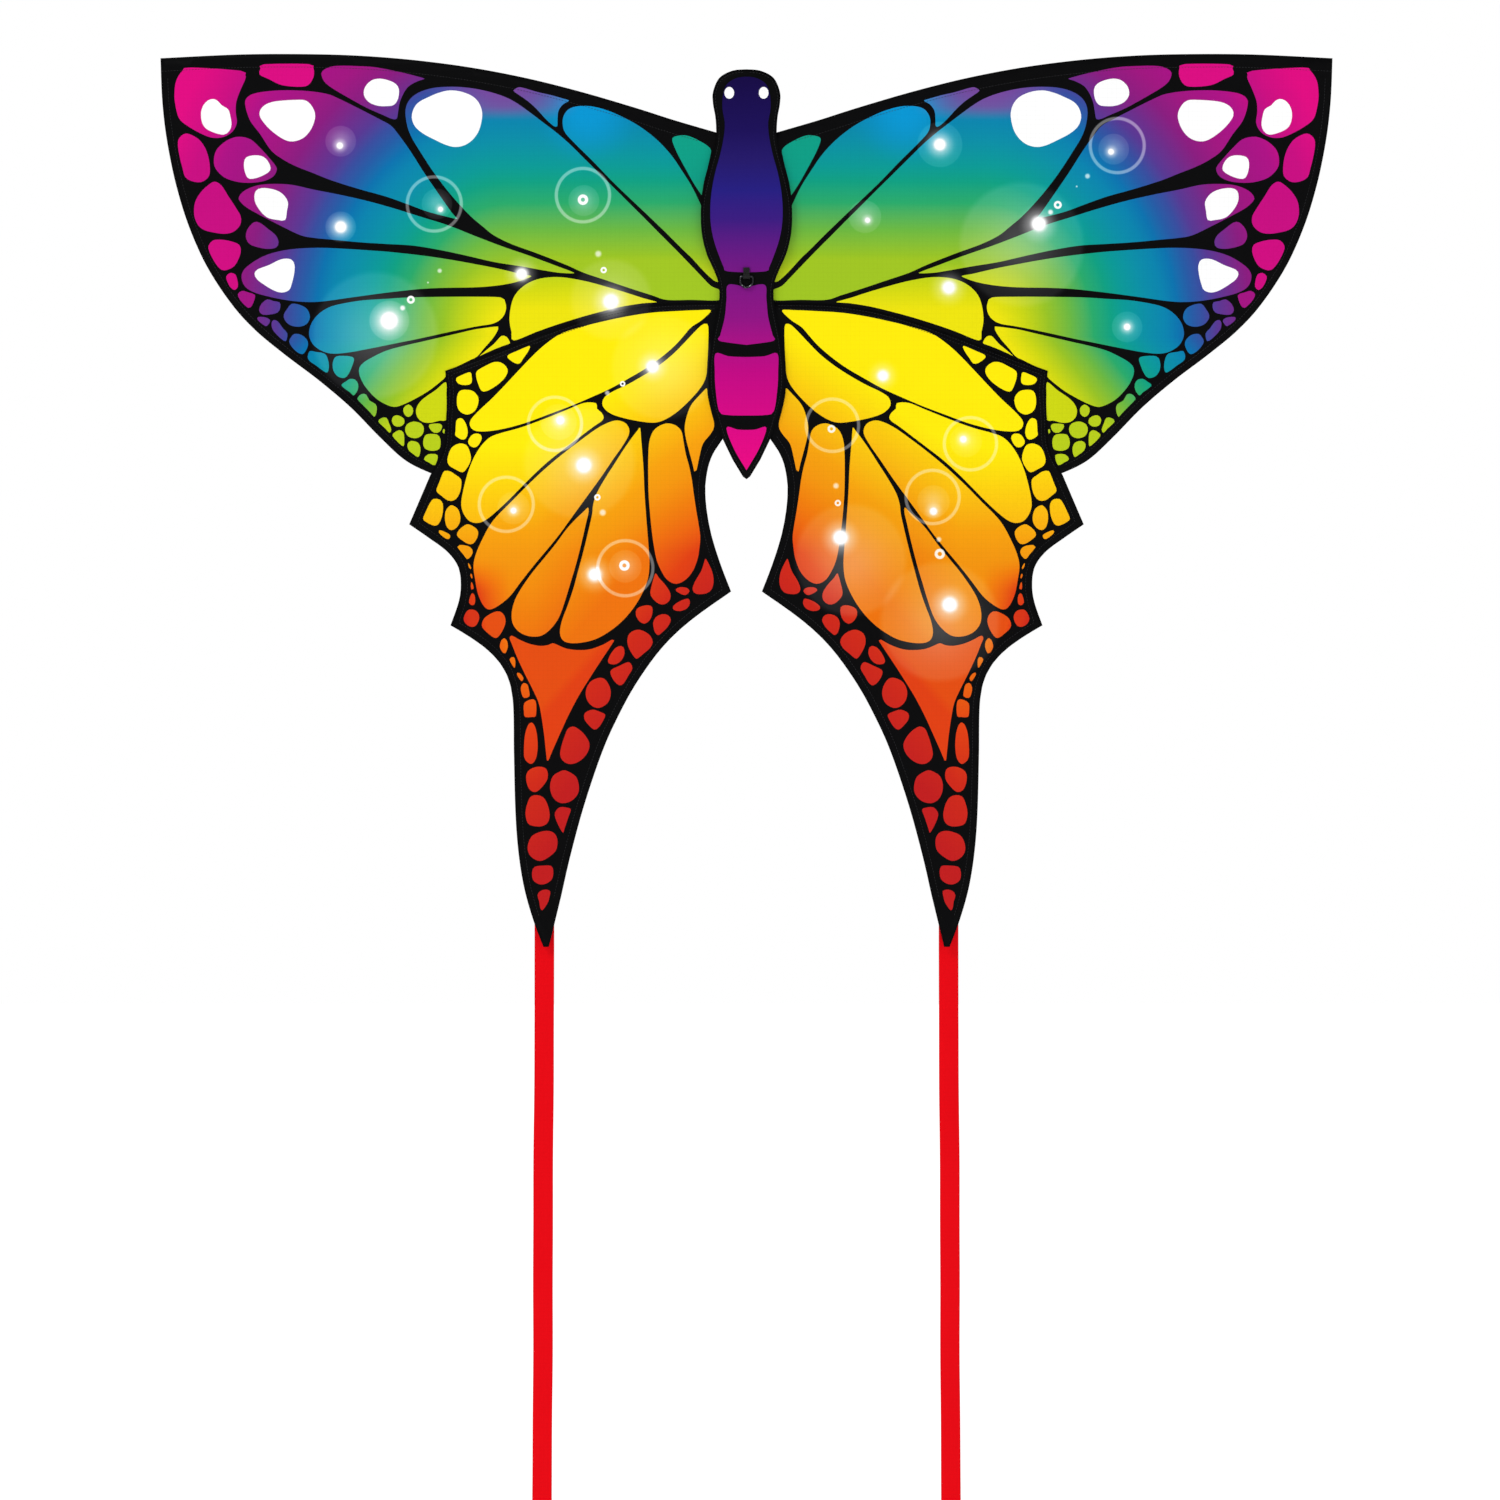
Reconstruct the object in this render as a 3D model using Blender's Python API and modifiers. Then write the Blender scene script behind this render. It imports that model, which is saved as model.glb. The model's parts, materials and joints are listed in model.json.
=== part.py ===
"""Single-line butterfly kite: printed sail on a folding X frame, with two ribbon tails.

The kite hangs upright: +X to its left-hand wing as seen from behind, +Z up, and the printed
front faces -Y. The origin is the eye of the tow ring, where the flying line clips on.

Each wing is drawn flat, as seen from the front, and is parented to an empty on its fold axis,
which tilts it back by the dihedral. In a wing's own frame x runs outward, y runs back from the
plane of its spars, and z runs up. Lists of points hold (outward, up) in millimetres.
"""

import math

import bmesh
import bpy
from mathutils import Matrix, Vector

MM = 0.001

# ---- Driving dimensions, in millimetres and degrees -------------------------------------------
DIHEDRAL = 8.0          # how far each wing leans back at rest
FOLD_X = 12.0           # the fold axes stand this far out from the centre line
ROD_R = 2.0             # wing spars, 4 mm fibreglass
SPINE_R = 2.5           # spine, 5 mm fibreglass
GAP = 0.3               # clearance between pieces that touch
SAIL_T = 0.5            # cloth panels
HEM_T = 0.4
HEM_W = 9.0             # width of a folded hem
CLOTH_STEP = 16.0       # longest straight run on a curved outline
TAIL_W = 22.0           # ribbon tails
TAIL_T = 0.4
TAIL_SEWN = -684.0      # a tail is sewn to the wing's tip from here
TAIL_TOP = -738.0       # down to here, where it swings free
TAIL_DROP = 650.0       # the hanging stretch, down to the middle of its roll
TAIL_LEAN = 1.6         # it leans this far forward, because its roll hangs behind it
ROLL_R = 19.7
ROLL_CORE_R = 4.6

# ---- Planes and heights worked out from them ---------------------------------------------------
UPPER_SAIL_BACK = -4.3                                   # in a wing's frame, 0 is the spar plane
LOWER_SAIL_BACK = UPPER_SAIL_BACK - SAIL_T - GAP
SLEEVE_R = -UPPER_SAIL_BACK - GAP - 0.1                  # outer radius of a spar's sleeve
TIP_PATCH_FRONT = SLEEVE_R + GAP
TAIL_BACK = TIP_PATCH_FRONT + SAIL_T + GAP + TAIL_T / 2  # middle of a tail's thickness
BODY_BACK = LOWER_SAIL_BACK - SAIL_T - 0.5
RING_WIRE_R = 1.2
TAB_EYE_R = 1.6
TAB_WALL = 0.8
AXIS_Y = TAB_EYE_R + TAB_WALL + GAP + SAIL_T - BODY_BACK  # the spar plane, behind the origin

SPAR_RISE = 14.5        # slope of the leading edge spars at the centre, in degrees
UPPER_HUB_Z = 146.5
LOWER_HUB_Z = -38.0
LOWER_LEAN = 19.7       # the lower spars leave the spine this far from vertical
HUB_WIDE = 11.0
HUB_DEEP = 8.4
HUB_TALL = 26.0
ARM_R = 3.6
SOCKET_R = 3.8
SOCKET_LONG = 26.0
BORE_SLACK = 0.35       # a faceted rod needs this much room in a faceted bore

# ---- Outlines, (outward, up) in millimetres, as seen from the front ----------------------------
LEADING_EDGE = [(33, 164.5), (80, 178.5), (120, 191.5), (180, 209.5), (240, 225), (300, 237),
                (360, 245.5), (420, 251), (480, 253.5), (560, 253.7), (650, 250)]
WING_OUTER_EDGE = [(650, 250), (648, 200), (643, 155), (633.5, 108), (619, 62), (600.5, 21),
                   (574, -20), (546, -51.5), (511, -80.5), (474, -108.5), (440.5, -137),
                   (406, -172), (377, -198), (346, -213)]
SEAM = [(12.3, -24), (60, -24.5), (100, -26), (150, -34), (200, -49), (250, -67), (300, -86),
        (334, -98)]
SEAM_DOWN = [(334, -98), (331, -120), (333, -150), (334, -178), (341, -198), (350, -213)]
SHOULDER = [(350, -213), (374, -268)]
SCALLOP = [(374, -268), (351.5, -283.5), (332, -298), (319.5, -315), (316.5, -335), (319, -354),
           (328, -380)]
TAIL_OUTER = [(328, -380), (303.5, -395), (281.5, -412.5), (266, -434), (258.5, -463), (257, -520),
              (255.5, -580), (252.5, -625), (246, -668), (235.5, -705.5), (224, -736)]
TAIL_INNER = [(218, -736), (205, -682.5), (195, -638.5), (179.5, -581), (159.5, -521.5),
              (142.5, -483), (121.5, -444.5), (93, -405), (61.5, -375), (17, -343)]
NOTCH = [(17, -343), (28.5, -312.5), (38, -282), (43.5, -252), (44.8, -226), (41, -202.5),
         (34.5, -187.5), (26, -175)]
BODY_HALF = [(0, 234), (15.5, 232.5), (30, 224.5), (37, 209), (37, 196), (34.5, 182), (33.5, 168),
             (34, 153), (39, 133), (45, 111), (49.5, 90), (50.5, 70), (49, 50), (44, 30), (36, 12),
             (31, -2), (30, -18), (33, -38), (37, -58), (40, -78), (42, -98), (41.5, -118),
             (38, -136), (33, -153), (27, -173), (15.5, -197), (4, -216), (0, -219)]
LOWER_SPAR_BEND = [(61, -205), (118, -340), (169, -470), (204, -590), (215, -668), (220, -716)]

SIDES = (("left", -1), ("right", 1))
COLOURS = {
    "upper_print": ((0.05, 0.45, 0.30), 0.6, 0.0),
    "lower_print": ((0.95, 0.45, 0.02), 0.6, 0.0),
    "body_print": ((0.12, 0.06, 0.35), 0.6, 0.0),
    "black_tape": ((0.01, 0.01, 0.01), 0.8, 0.0),
    "fibreglass": ((0.03, 0.03, 0.03), 0.3, 0.0),
    "vinyl": ((0.02, 0.02, 0.02), 0.5, 0.0),
    "red_ribbon": ((0.80, 0.01, 0.01), 0.6, 0.0),
    "ring_metal": ((0.02, 0.02, 0.02), 0.35, 0.6),
}


# ---- Scene, materials and placing ---------------------------------------------------------------
def clear_scene():
    for obj in list(bpy.data.objects):
        bpy.data.objects.remove(obj)


def new_collection(name):
    collection = bpy.data.collections.new(name)
    bpy.context.scene.collection.children.link(collection)
    return collection


def material(name):
    found = bpy.data.materials.get(name)
    if found:
        return found
    colour, roughness, metallic = COLOURS[name]
    made = bpy.data.materials.new(name)
    made.use_nodes = True
    shader = made.node_tree.nodes["Principled BSDF"]
    shader.inputs["Base Color"].default_value = (*colour, 1)
    shader.inputs["Roughness"].default_value = roughness
    shader.inputs["Metallic"].default_value = metallic
    return made


def place(obj, finish, parent=None):
    """Puts an object in the kite's collection, under its wing's empty if it has one."""
    for used in list(obj.users_collection):
        used.objects.unlink(obj)
    KITE.objects.link(obj)
    obj.data.materials.clear()
    obj.data.materials.append(material(finish))
    obj.parent = parent
    return obj


def outward(x):
    """A distance from the centre line in the front view, measured along the tilted wing."""
    return (x - FOLD_X) / math.cos(math.radians(DIHEDRAL))


# ---- Outlines -----------------------------------------------------------------------------------
def smooth(points, step=CLOTH_STEP):
    """A smooth curve through the points, with a new point at least every step."""
    found = [points[0]]
    padded = [points[0], *points, points[-1]]
    for a, b, c, d in zip(padded, padded[1:], padded[2:], padded[3:]):
        count = max(1, math.ceil(math.dist(b, c) / step))
        for i in range(1, count + 1):
            t = i / count
            found.append(tuple(
                0.5 * (2 * q + (r - p) * t + (2 * p - 5 * q + 4 * r - s) * t**2
                       + (3 * q - p - 3 * r + s) * t**3)
                for p, q, r, s in zip(a, b, c, d)))
    return found


def chain(*runs):
    """Runs of points that meet end to end, as one list without the doubled ends."""
    found = []
    for run in runs:
        found += run if not found or math.dist(found[-1], run[0]) > 1e-6 else run[1:]
    return found


def inset(points, by):
    """The points moved to the right of their direction of travel, with mitred corners."""
    found = []
    for i, here in enumerate(points):
        before = Vector(here) - Vector(points[max(i - 1, 0)])
        after = Vector(points[min(i + 1, len(points) - 1)]) - Vector(here)
        normals = [Vector((d.y, -d.x)).normalized() for d in (before, after) if d.length > 0]
        middle = sum(normals, Vector((0, 0))).normalized()
        reach = by / max(middle.dot(normals[0]), 0.5)
        found.append((here[0] + middle.x * reach, here[1] + middle.y * reach))
    return found


def wing_points(points, side):
    """Front-view points as points of a wing's own plane, in metres."""
    return [(side * outward(x) * MM, z * MM) for x, z in points]


# ---- Shapes -------------------------------------------------------------------------------------
def flat_outline(name, loops, thickness, depth, finish, parent=None):
    """A plate cut to closed loops, standing upright; depth is the middle of its thickness."""
    data = bpy.data.curves.new(name, "CURVE")
    data.dimensions = "2D"
    data.fill_mode = "BOTH"
    data.extrude = thickness / 2 * MM
    for loop in loops:
        spline = data.splines.new("POLY")
        spline.points.add(len(loop) - 1)
        for point, (x, z) in zip(spline.points, loop):
            point.co = (x, z, 0, 1)
        spline.use_cyclic_u = True
    obj = bpy.data.objects.new(name, data)
    obj.rotation_euler = (math.pi / 2, 0, 0)
    obj.location = (0, depth * MM, 0)
    return place(obj, finish, parent)


def rod_along(name, points, radius, finish, parent=None, cyclic=False):
    """A round bar along points in metres."""
    data = bpy.data.curves.new(name, "CURVE")
    data.dimensions = "3D"
    data.bevel_depth = radius * MM
    data.bevel_resolution = 2
    data.use_fill_caps = not cyclic
    spline = data.splines.new("POLY")
    spline.points.add(len(points) - 1)
    for point, at in zip(spline.points, points):
        point.co = (*at, 1)
    spline.use_cyclic_u = cyclic
    return place(bpy.data.objects.new(name, data), finish, parent)


def as_mesh(obj):
    """The same object as a mesh, so that it takes mesh modifiers."""
    name, finish, parent = obj.name, obj.data.materials[0].name, obj.parent
    graph = bpy.context.evaluated_depsgraph_get()
    mesh = bpy.data.meshes.new_from_object(obj.evaluated_get(graph))
    made = bpy.data.objects.new("mesh", mesh)
    made.matrix_basis = obj.matrix_basis.copy()
    bpy.data.objects.remove(obj)
    made.name = name
    return place(made, finish, parent)


def sleeve_along(name, points, radius, wall, finish, parent=None):
    """A cloth tube along points in metres, open at both ends; radius is its outer one."""
    obj = rod_along(name, points, radius, finish, parent)
    obj.data.use_fill_caps = False
    obj = as_mesh(obj)
    solid = obj.modifiers.new("wall", "SOLIDIFY")
    solid.thickness = wall * MM
    solid.offset = -1
    return obj


def turned(name, profile, finish, parent=None, sides=24, closed=False):
    """A shape turned about its own z from (radius, height) points in millimetres."""
    edges = [(i, i + 1) for i in range(len(profile) - 1)]
    if closed:
        edges.append((len(profile) - 1, 0))
    mesh = bpy.data.meshes.new(name)
    mesh.from_pydata([(r * MM, 0, z * MM) for r, z in profile], edges, [])
    obj = place(bpy.data.objects.new(name, mesh), finish, parent)
    screw = obj.modifiers.new("turn", "SCREW")
    screw.steps = screw.render_steps = sides
    screw.use_merge_vertices = True
    screw.merge_threshold = 0.00001
    return obj


def ring(name, inner, outer, height, finish, parent=None, sides=24):
    profile = [(outer, height / 2), (outer, -height / 2), (inner, -height / 2), (inner, height / 2)]
    return turned(name, profile, finish, parent, sides, closed=True)


def cup(name, bore, wall, deep, floor, finish, parent=None):
    """A cap or socket, open at the top of its own z and closed by a floor at the bottom."""
    outer = bore + wall
    edge = min(1.0, wall * 0.6)
    profile = [(bore, floor), (bore, deep), (outer - edge, deep), (outer, deep - edge), (outer, edge),
               (outer - edge, 0), (0, 0)]
    return turned(name, [(0, floor), *profile], finish, parent)


def aim(obj, at, direction):
    """Stands an object at a point in millimetres with its own z along a direction."""
    obj.location = Vector(at) * MM
    obj.rotation_euler = Vector(direction).to_track_quat("Z", "Y").to_euler()
    return obj


def cylinder(name, radius, length, finish, parent=None):
    bpy.ops.mesh.primitive_cylinder_add(vertices=24, radius=radius * MM, depth=length * MM)
    obj = bpy.context.object
    obj.name = name
    return place(obj, finish, parent)


def join_by(obj, other, operation):
    """A Boolean with an object that then becomes a hidden cutter."""
    step = obj.modifiers.new(operation.lower(), "BOOLEAN")
    step.operation = operation
    step.object = other
    for used in list(other.users_collection):
        used.objects.unlink(other)
    CUTTERS.objects.link(other)
    other.hide_render = True
    other.display_type = "WIRE"


# ---- The centre: spine, connectors, body and tow point ----------------------------------------
def spine():
    top, bottom = 219.0, -200.0
    rod = cylinder("spine_rod", SPINE_R, top - bottom, "fibreglass")
    rod.location = (0, AXIS_Y * MM, (top + bottom) / 2 * MM)
    cap_wall, cap_floor, cap_deep = 0.9, 2.0, 16.0
    for name, end, way in (("spine_cap_top", top, 1), ("spine_cap_bottom", bottom, -1)):
        cap = cup(name, SPINE_R + BORE_SLACK, cap_wall, cap_deep, cap_floor, "vinyl")
        aim(cap, (0, AXIS_Y, end + way * (cap_floor + GAP)), (0, 0, -way))
    pocket_wall, pocket_floor, pocket_deep = 0.5, 1.0, 32.0
    pocket_bore = SPINE_R + BORE_SLACK + cap_wall + GAP
    for name, end, way in (("nose_pocket", top, 1), ("body_tip_pocket", bottom, -1)):
        pocket = cup(name, pocket_bore, pocket_wall, pocket_deep, pocket_floor, "black_tape")
        aim(pocket, (0, AXIS_Y, end + way * (cap_floor + pocket_floor + 2 * GAP)), (0, 0, -way))
    for name, low, high in (("spine_sleeve_middle", -20.0, 128.0), ("spine_sleeve_lower", -164.0, -72.0)):
        ends = [(0, AXIS_Y * MM, z * MM) for z in (low, high)]
        sleeve_along(name, ends, SPINE_R + 1.2, 0.5, "black_tape")


def connector(name, height, arm_from, arm_to, arm_way):
    """A soft moulded block on the spine with one arm for each wing, and the ring that stops it."""
    bpy.ops.mesh.primitive_cube_add(size=1, location=(0, AXIS_Y * MM, height * MM))
    block = bpy.context.object
    block.name = name
    block.data.transform(Matrix.Diagonal((HUB_WIDE * MM, HUB_DEEP * MM, HUB_TALL * MM, 1)))
    place(block, "vinyl")
    soft = block.modifiers.new("soft edges", "BEVEL")
    soft.width = 1.0 * MM
    soft.segments = 3
    for side in (-1, 1):
        way = Vector((side * arm_way[0], 0, arm_way[1]))
        arm = cylinder(name + "_arm", ARM_R, arm_to - arm_from, "vinyl")
        aim(arm, Vector((0, AXIS_Y, height)) + way * (arm_from + arm_to) / 2, way)
        join_by(block, arm, "UNION")
    bore = cylinder(name + "_bore", SPINE_R + BORE_SLACK, 3 * HUB_TALL, "vinyl")
    bore.location = (0, AXIS_Y * MM, height * MM)
    join_by(block, bore, "DIFFERENCE")
    stop_tall = 4.0
    clear_of_arms = -1 if arm_way[1] > 0 else 1
    stop = ring(name + "_stop", SPINE_R + BORE_SLACK, SPINE_R + 1.6, stop_tall, "vinyl")
    stop_z = height + clear_of_arms * (HUB_TALL / 2 + stop_tall / 2 + GAP)
    stop.location = (0, AXIS_Y * MM, stop_z * MM)


def body():
    """The printed body panel, and the tape behind it that the two wings are sewn to."""
    half = chain(smooth(BODY_HALF[:-4], 7), BODY_HALF[-4:])
    whole = half + [(-x, z) for x, z in reversed(half[1:-1])]
    flat_outline("body_panel", [[(x * MM, z * MM) for x, z in whole]], SAIL_T,
                 AXIS_Y + BODY_BACK - SAIL_T / 2, "body_print")
    tape_x, tape_top, tape_low = 11.2, 158.0, -150.0
    corners = [(-tape_x, tape_low), (tape_x, tape_low), (tape_x, tape_top), (-tape_x, tape_top)]
    flat_outline("centre_tape", [[(x * MM, z * MM) for x, z in corners]], HEM_T,
                 AXIS_Y + UPPER_SAIL_BACK - GAP - HEM_T / 2, "black_tape")


def arc(centre, radius, start, end, count):
    """Points of a circle's arc, angles in degrees."""
    found = []
    for i in range(count + 1):
        a = math.radians(start + (end - start) * i / count)
        found.append((centre[0] + radius * math.cos(a), centre[1] + radius * math.sin(a)))
    return found


def tow_point():
    """A webbing tab on the front of the body, and the D ring it holds."""
    bow_r, corner_r, bar_z = 7.0, 2.0, 5.0
    loop = chain(arc((0, 0), bow_r, 0, -180, 16),
                 arc((-bow_r + corner_r, bar_z - corner_r), corner_r, 180, 90, 4),
                 arc((bow_r - corner_r, bar_z - corner_r), corner_r, 90, 0, 4))
    rod_along("tow_ring", [(x * MM, 0, z * MM) for x, z in loop], RING_WIRE_R, "ring_metal", cyclic=True)
    # The tab is cut in side view, (back, up), then turned to run across the body.
    outer_r = TAB_EYE_R + TAB_WALL
    strap_top, strap_front = 15.0, outer_r - 2 * TAB_WALL
    strap_low = math.sqrt(outer_r**2 - strap_front**2)
    start = math.degrees(math.atan2(strap_low, strap_front))
    side = arc((0, 0), outer_r, start, 360, 20)
    side += [(outer_r, strap_top - bar_z), (strap_front, strap_top - bar_z)]
    eye = arc((0, 0), TAB_EYE_R, 0, 360, 20)[:-1]
    tab = flat_outline("tow_tab", [[(y * MM, z * MM) for y, z in loop] for loop in (side, eye)],
                       7.0, 0, "black_tape")
    tab.rotation_euler = (math.pi / 2, 0, math.pi / 2)
    tab.location = (0, 0, bar_z * MM)


# ---- One wing -----------------------------------------------------------------------------------
def sails(side, name, wing):
    """The two printed panels; the upper one runs on 10 mm behind the lower one's seam."""
    lap = 10.0
    seam, down = smooth(SEAM), smooth(SEAM_DOWN)
    behind = inset(chain(seam, down), lap)[:-1]
    inner_top = 156.5
    upper = chain([(12.3, inner_top)], smooth(LEADING_EDGE), smooth(WING_OUTER_EDGE), behind[::-1])
    flat_outline(f"{name}_upper_sail", [wing_points(upper, side)], SAIL_T,
                 UPPER_SAIL_BACK - SAIL_T / 2, "upper_print", wing)
    lower = chain(seam, down, SHOULDER, smooth(SCALLOP), smooth(TAIL_OUTER), smooth(TAIL_INNER),
                  smooth(NOTCH), [(18, -160), (12.3, -150)])
    flat_outline(f"{name}_lower_sail", [wing_points(lower, side)], SAIL_T,
                 LOWER_SAIL_BACK - SAIL_T / 2, "lower_print", wing)


def hem(label, edge, sail_back, side, name, wing):
    """A folded hem on the back of a sail, along its edge."""
    strip = edge + inset(edge, HEM_W)[::-1]
    flat_outline(f"{name}_{label}", [wing_points(strip, side)], HEM_T,
                 sail_back + GAP + HEM_T / 2, "black_tape", wing)


def hems(side, name, wing):
    top_margin, tip_margin = 2, 1
    hem("wing_hem", smooth(WING_OUTER_EDGE)[top_margin:-tip_margin], UPPER_SAIL_BACK, side, name, wing)
    outer = chain(SHOULDER, smooth(SCALLOP), smooth(TAIL_OUTER)[:-3])
    hem("tail_outer_hem", outer, LOWER_SAIL_BACK, side, name, wing)
    inner = chain(smooth(TAIL_INNER)[4:], smooth(NOTCH))
    hem("tail_inner_hem", inner, LOWER_SAIL_BACK, side, name, wing)


def spar_path(points, side):
    return [(x, 0, z) for x, z in wing_points(points, side)]


def way_2d(degrees_up):
    return (math.cos(math.radians(degrees_up)), math.sin(math.radians(degrees_up)))


def along(height, way, distance):
    """A front-view point this far from the spine along an arm."""
    return (way[0] * distance, height + way[1] * distance)


UPPER_WAY = way_2d(SPAR_RISE)
LOWER_WAY = way_2d(LOWER_LEAN - 90)
UPPER_ARM = (4.0, 8.2)      # start and end of a connector's arm, from the spine's axis
LOWER_ARM = (4.0, 30.0)
UPPER_SOCKET_AT = 16.6
LOWER_SOCKET_AT = 42.0
SPAR_BELOW_EDGE = 8.0
SOCKET_FLOOR = 2.5


def fit_socket(label, height, way, start, side, name, wing):
    """The end of a connector's soft arm that grips a spar."""
    x, z = along(height, way, start)
    socket = cup(f"{name}_{label}", ROD_R + BORE_SLACK, SOCKET_R - ROD_R - BORE_SLACK, SOCKET_LONG,
                 SOCKET_FLOOR, "vinyl", wing)
    aim(socket, (side * outward(x), 0, z), (side * way[0], 0, way[1]))


def neck(label, height, way, start, end, side, name, wing):
    """The soft bend between a connector and a socket, drawn halfway between the two."""
    (x0, z0), (x1, z1) = along(height, way, start + GAP), along(height, way, end - 2 * GAP)
    half = math.radians(DIHEDRAL / 2)
    ends = []
    for x, z in ((x0, z0), (x1, z1)):
        reach = (x - FOLD_X) / math.cos(half)
        ends.append((side * reach * math.cos(half) * MM, -reach * math.sin(half) * MM, z * MM))
    rod_along(f"{name}_{label}", ends, ARM_R - 1.0, "vinyl", wing)


def leading_edge(side, name, wing):
    first = along(UPPER_HUB_Z, UPPER_WAY, UPPER_SOCKET_AT + SOCKET_FLOOR + GAP)
    second = along(UPPER_HUB_Z, UPPER_WAY, UPPER_SOCKET_AT + SOCKET_LONG + 2)
    under = [(x, z - SPAR_BELOW_EDGE) for x, z in LEADING_EDGE[1:-1]]
    tip = (636, LEADING_EDGE[-1][1] - SPAR_BELOW_EDGE + 0.6)
    path = chain([first], smooth([second, *under, tip], 40))
    rod_along(f"{name}_upper_spar", spar_path(path, side), ROD_R, "fibreglass", wing)
    cased = [p for p in path if 60 < p[0] < 622]
    sleeve_along(f"{name}_leading_edge_sleeve", spar_path(cased, side), SLEEVE_R, 0.5, "black_tape", wing)
    fit_socket("upper_socket", UPPER_HUB_Z, UPPER_WAY, UPPER_SOCKET_AT, side, name, wing)
    neck("upper_neck", UPPER_HUB_Z, UPPER_WAY, UPPER_ARM[1], UPPER_SOCKET_AT, side, name, wing)
    end_cap("upper_spar_cap", path, side, name, wing)
    patch = [(647, 249), (604, 250.5), (641, 205)]
    flat_outline(f"{name}_wingtip_patch", [wing_points(patch, side)], SAIL_T,
                 TIP_PATCH_FRONT + SAIL_T / 2, "black_tape", wing)


def end_cap(label, path, side, name, wing):
    """The vinyl cap on the outer end of a spar."""
    end, before = Vector(path[-1]), Vector(path[-2])
    way = (end - before).normalized()
    floor, deep, wall = 2.0, 14.0, 0.8
    tip = end + way * (floor + GAP)
    cap = cup(f"{name}_{label}", ROD_R + BORE_SLACK, wall, deep, floor, "vinyl", wing)
    aim(cap, (side * outward(tip.x), 0, tip.y), (-side * way.x, 0, -way.y))


def keeper(number, at, way, side, name, wing):
    """A cloth loop sewn to the back of the sail, which holds the lower spar."""
    inner_r, wall, wide, foot = ROD_R + 0.6, 0.5, 16.0, 4.5
    back = LOWER_SAIL_BACK + GAP
    rise = arc((0, 0), inner_r + wall, 0, 180, 10)
    under = arc((0, 0), inner_r, 180, 0, 10)
    left, right = -inner_r - wall - foot, inner_r + wall + foot
    loop = [(right, back), (right, back + wall), (inner_r + wall, back + wall), *rise,
            (-inner_r - wall, back + wall), (left, back + wall), (left, back),
            (-inner_r, back), *under, (inner_r, back)]
    loop = [p for i, p in enumerate(loop) if math.dist(p, loop[i - 1]) > 1e-6]
    strap = flat_outline(f"{name}_spar_keeper_{number}", [[(x * MM, y * MM) for x, y in loop]],
                         wide, 0, "black_tape", wing)
    tilt = math.atan2(side * (way[0]), -way[1])
    strap.rotation_euler = (0, -tilt, 0)
    strap.data.transform(Matrix.Identity(4))
    strap.location = (side * outward(at[0]) * MM, 0, at[1] * MM)


def lower_spar(side, name, wing):
    first = along(LOWER_HUB_Z, LOWER_WAY, LOWER_SOCKET_AT + SOCKET_FLOOR + GAP)
    second = along(LOWER_HUB_Z, LOWER_WAY, LOWER_SOCKET_AT + SOCKET_LONG + 4)
    path = chain([first], smooth([second, *LOWER_SPAR_BEND], 40))
    rod_along(f"{name}_lower_spar", spar_path(path, side), ROD_R, "fibreglass", wing)
    fit_socket("lower_socket", LOWER_HUB_Z, LOWER_WAY, LOWER_SOCKET_AT, side, name, wing)
    neck("lower_neck", LOWER_HUB_Z, LOWER_WAY, LOWER_ARM[1], LOWER_SOCKET_AT, side, name, wing)
    end_cap("lower_spar_cap", path, side, name, wing)
    for number, height in enumerate((-270, -560), 1):
        below = next(i for i, p in enumerate(path) if p[1] < height)
        a, b = Vector(path[below - 1]), Vector(path[below])
        at = a + (b - a) * ((height - a.y) / (b.y - a.y))
        keeper(number, at, (b - a).normalized(), side, name, wing)
    outer, inner = smooth(TAIL_OUTER), smooth(TAIL_INNER)
    outer = [(x - 2, z) for x, z in outer if -728 < z < -690]
    inner = [(x + 2, z) for x, z in inner if -728 < z < -690]
    patch = [(238, -688), *outer, (222, -732), *inner, (211, -688)]
    flat_outline(f"{name}_tail_tip_patch", [wing_points(patch, side)], SAIL_T,
                 TIP_PATCH_FRONT + SAIL_T / 2, "black_tape", wing)


# ---- One tail -----------------------------------------------------------------------------------
TAIL_X = 224.5


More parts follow.
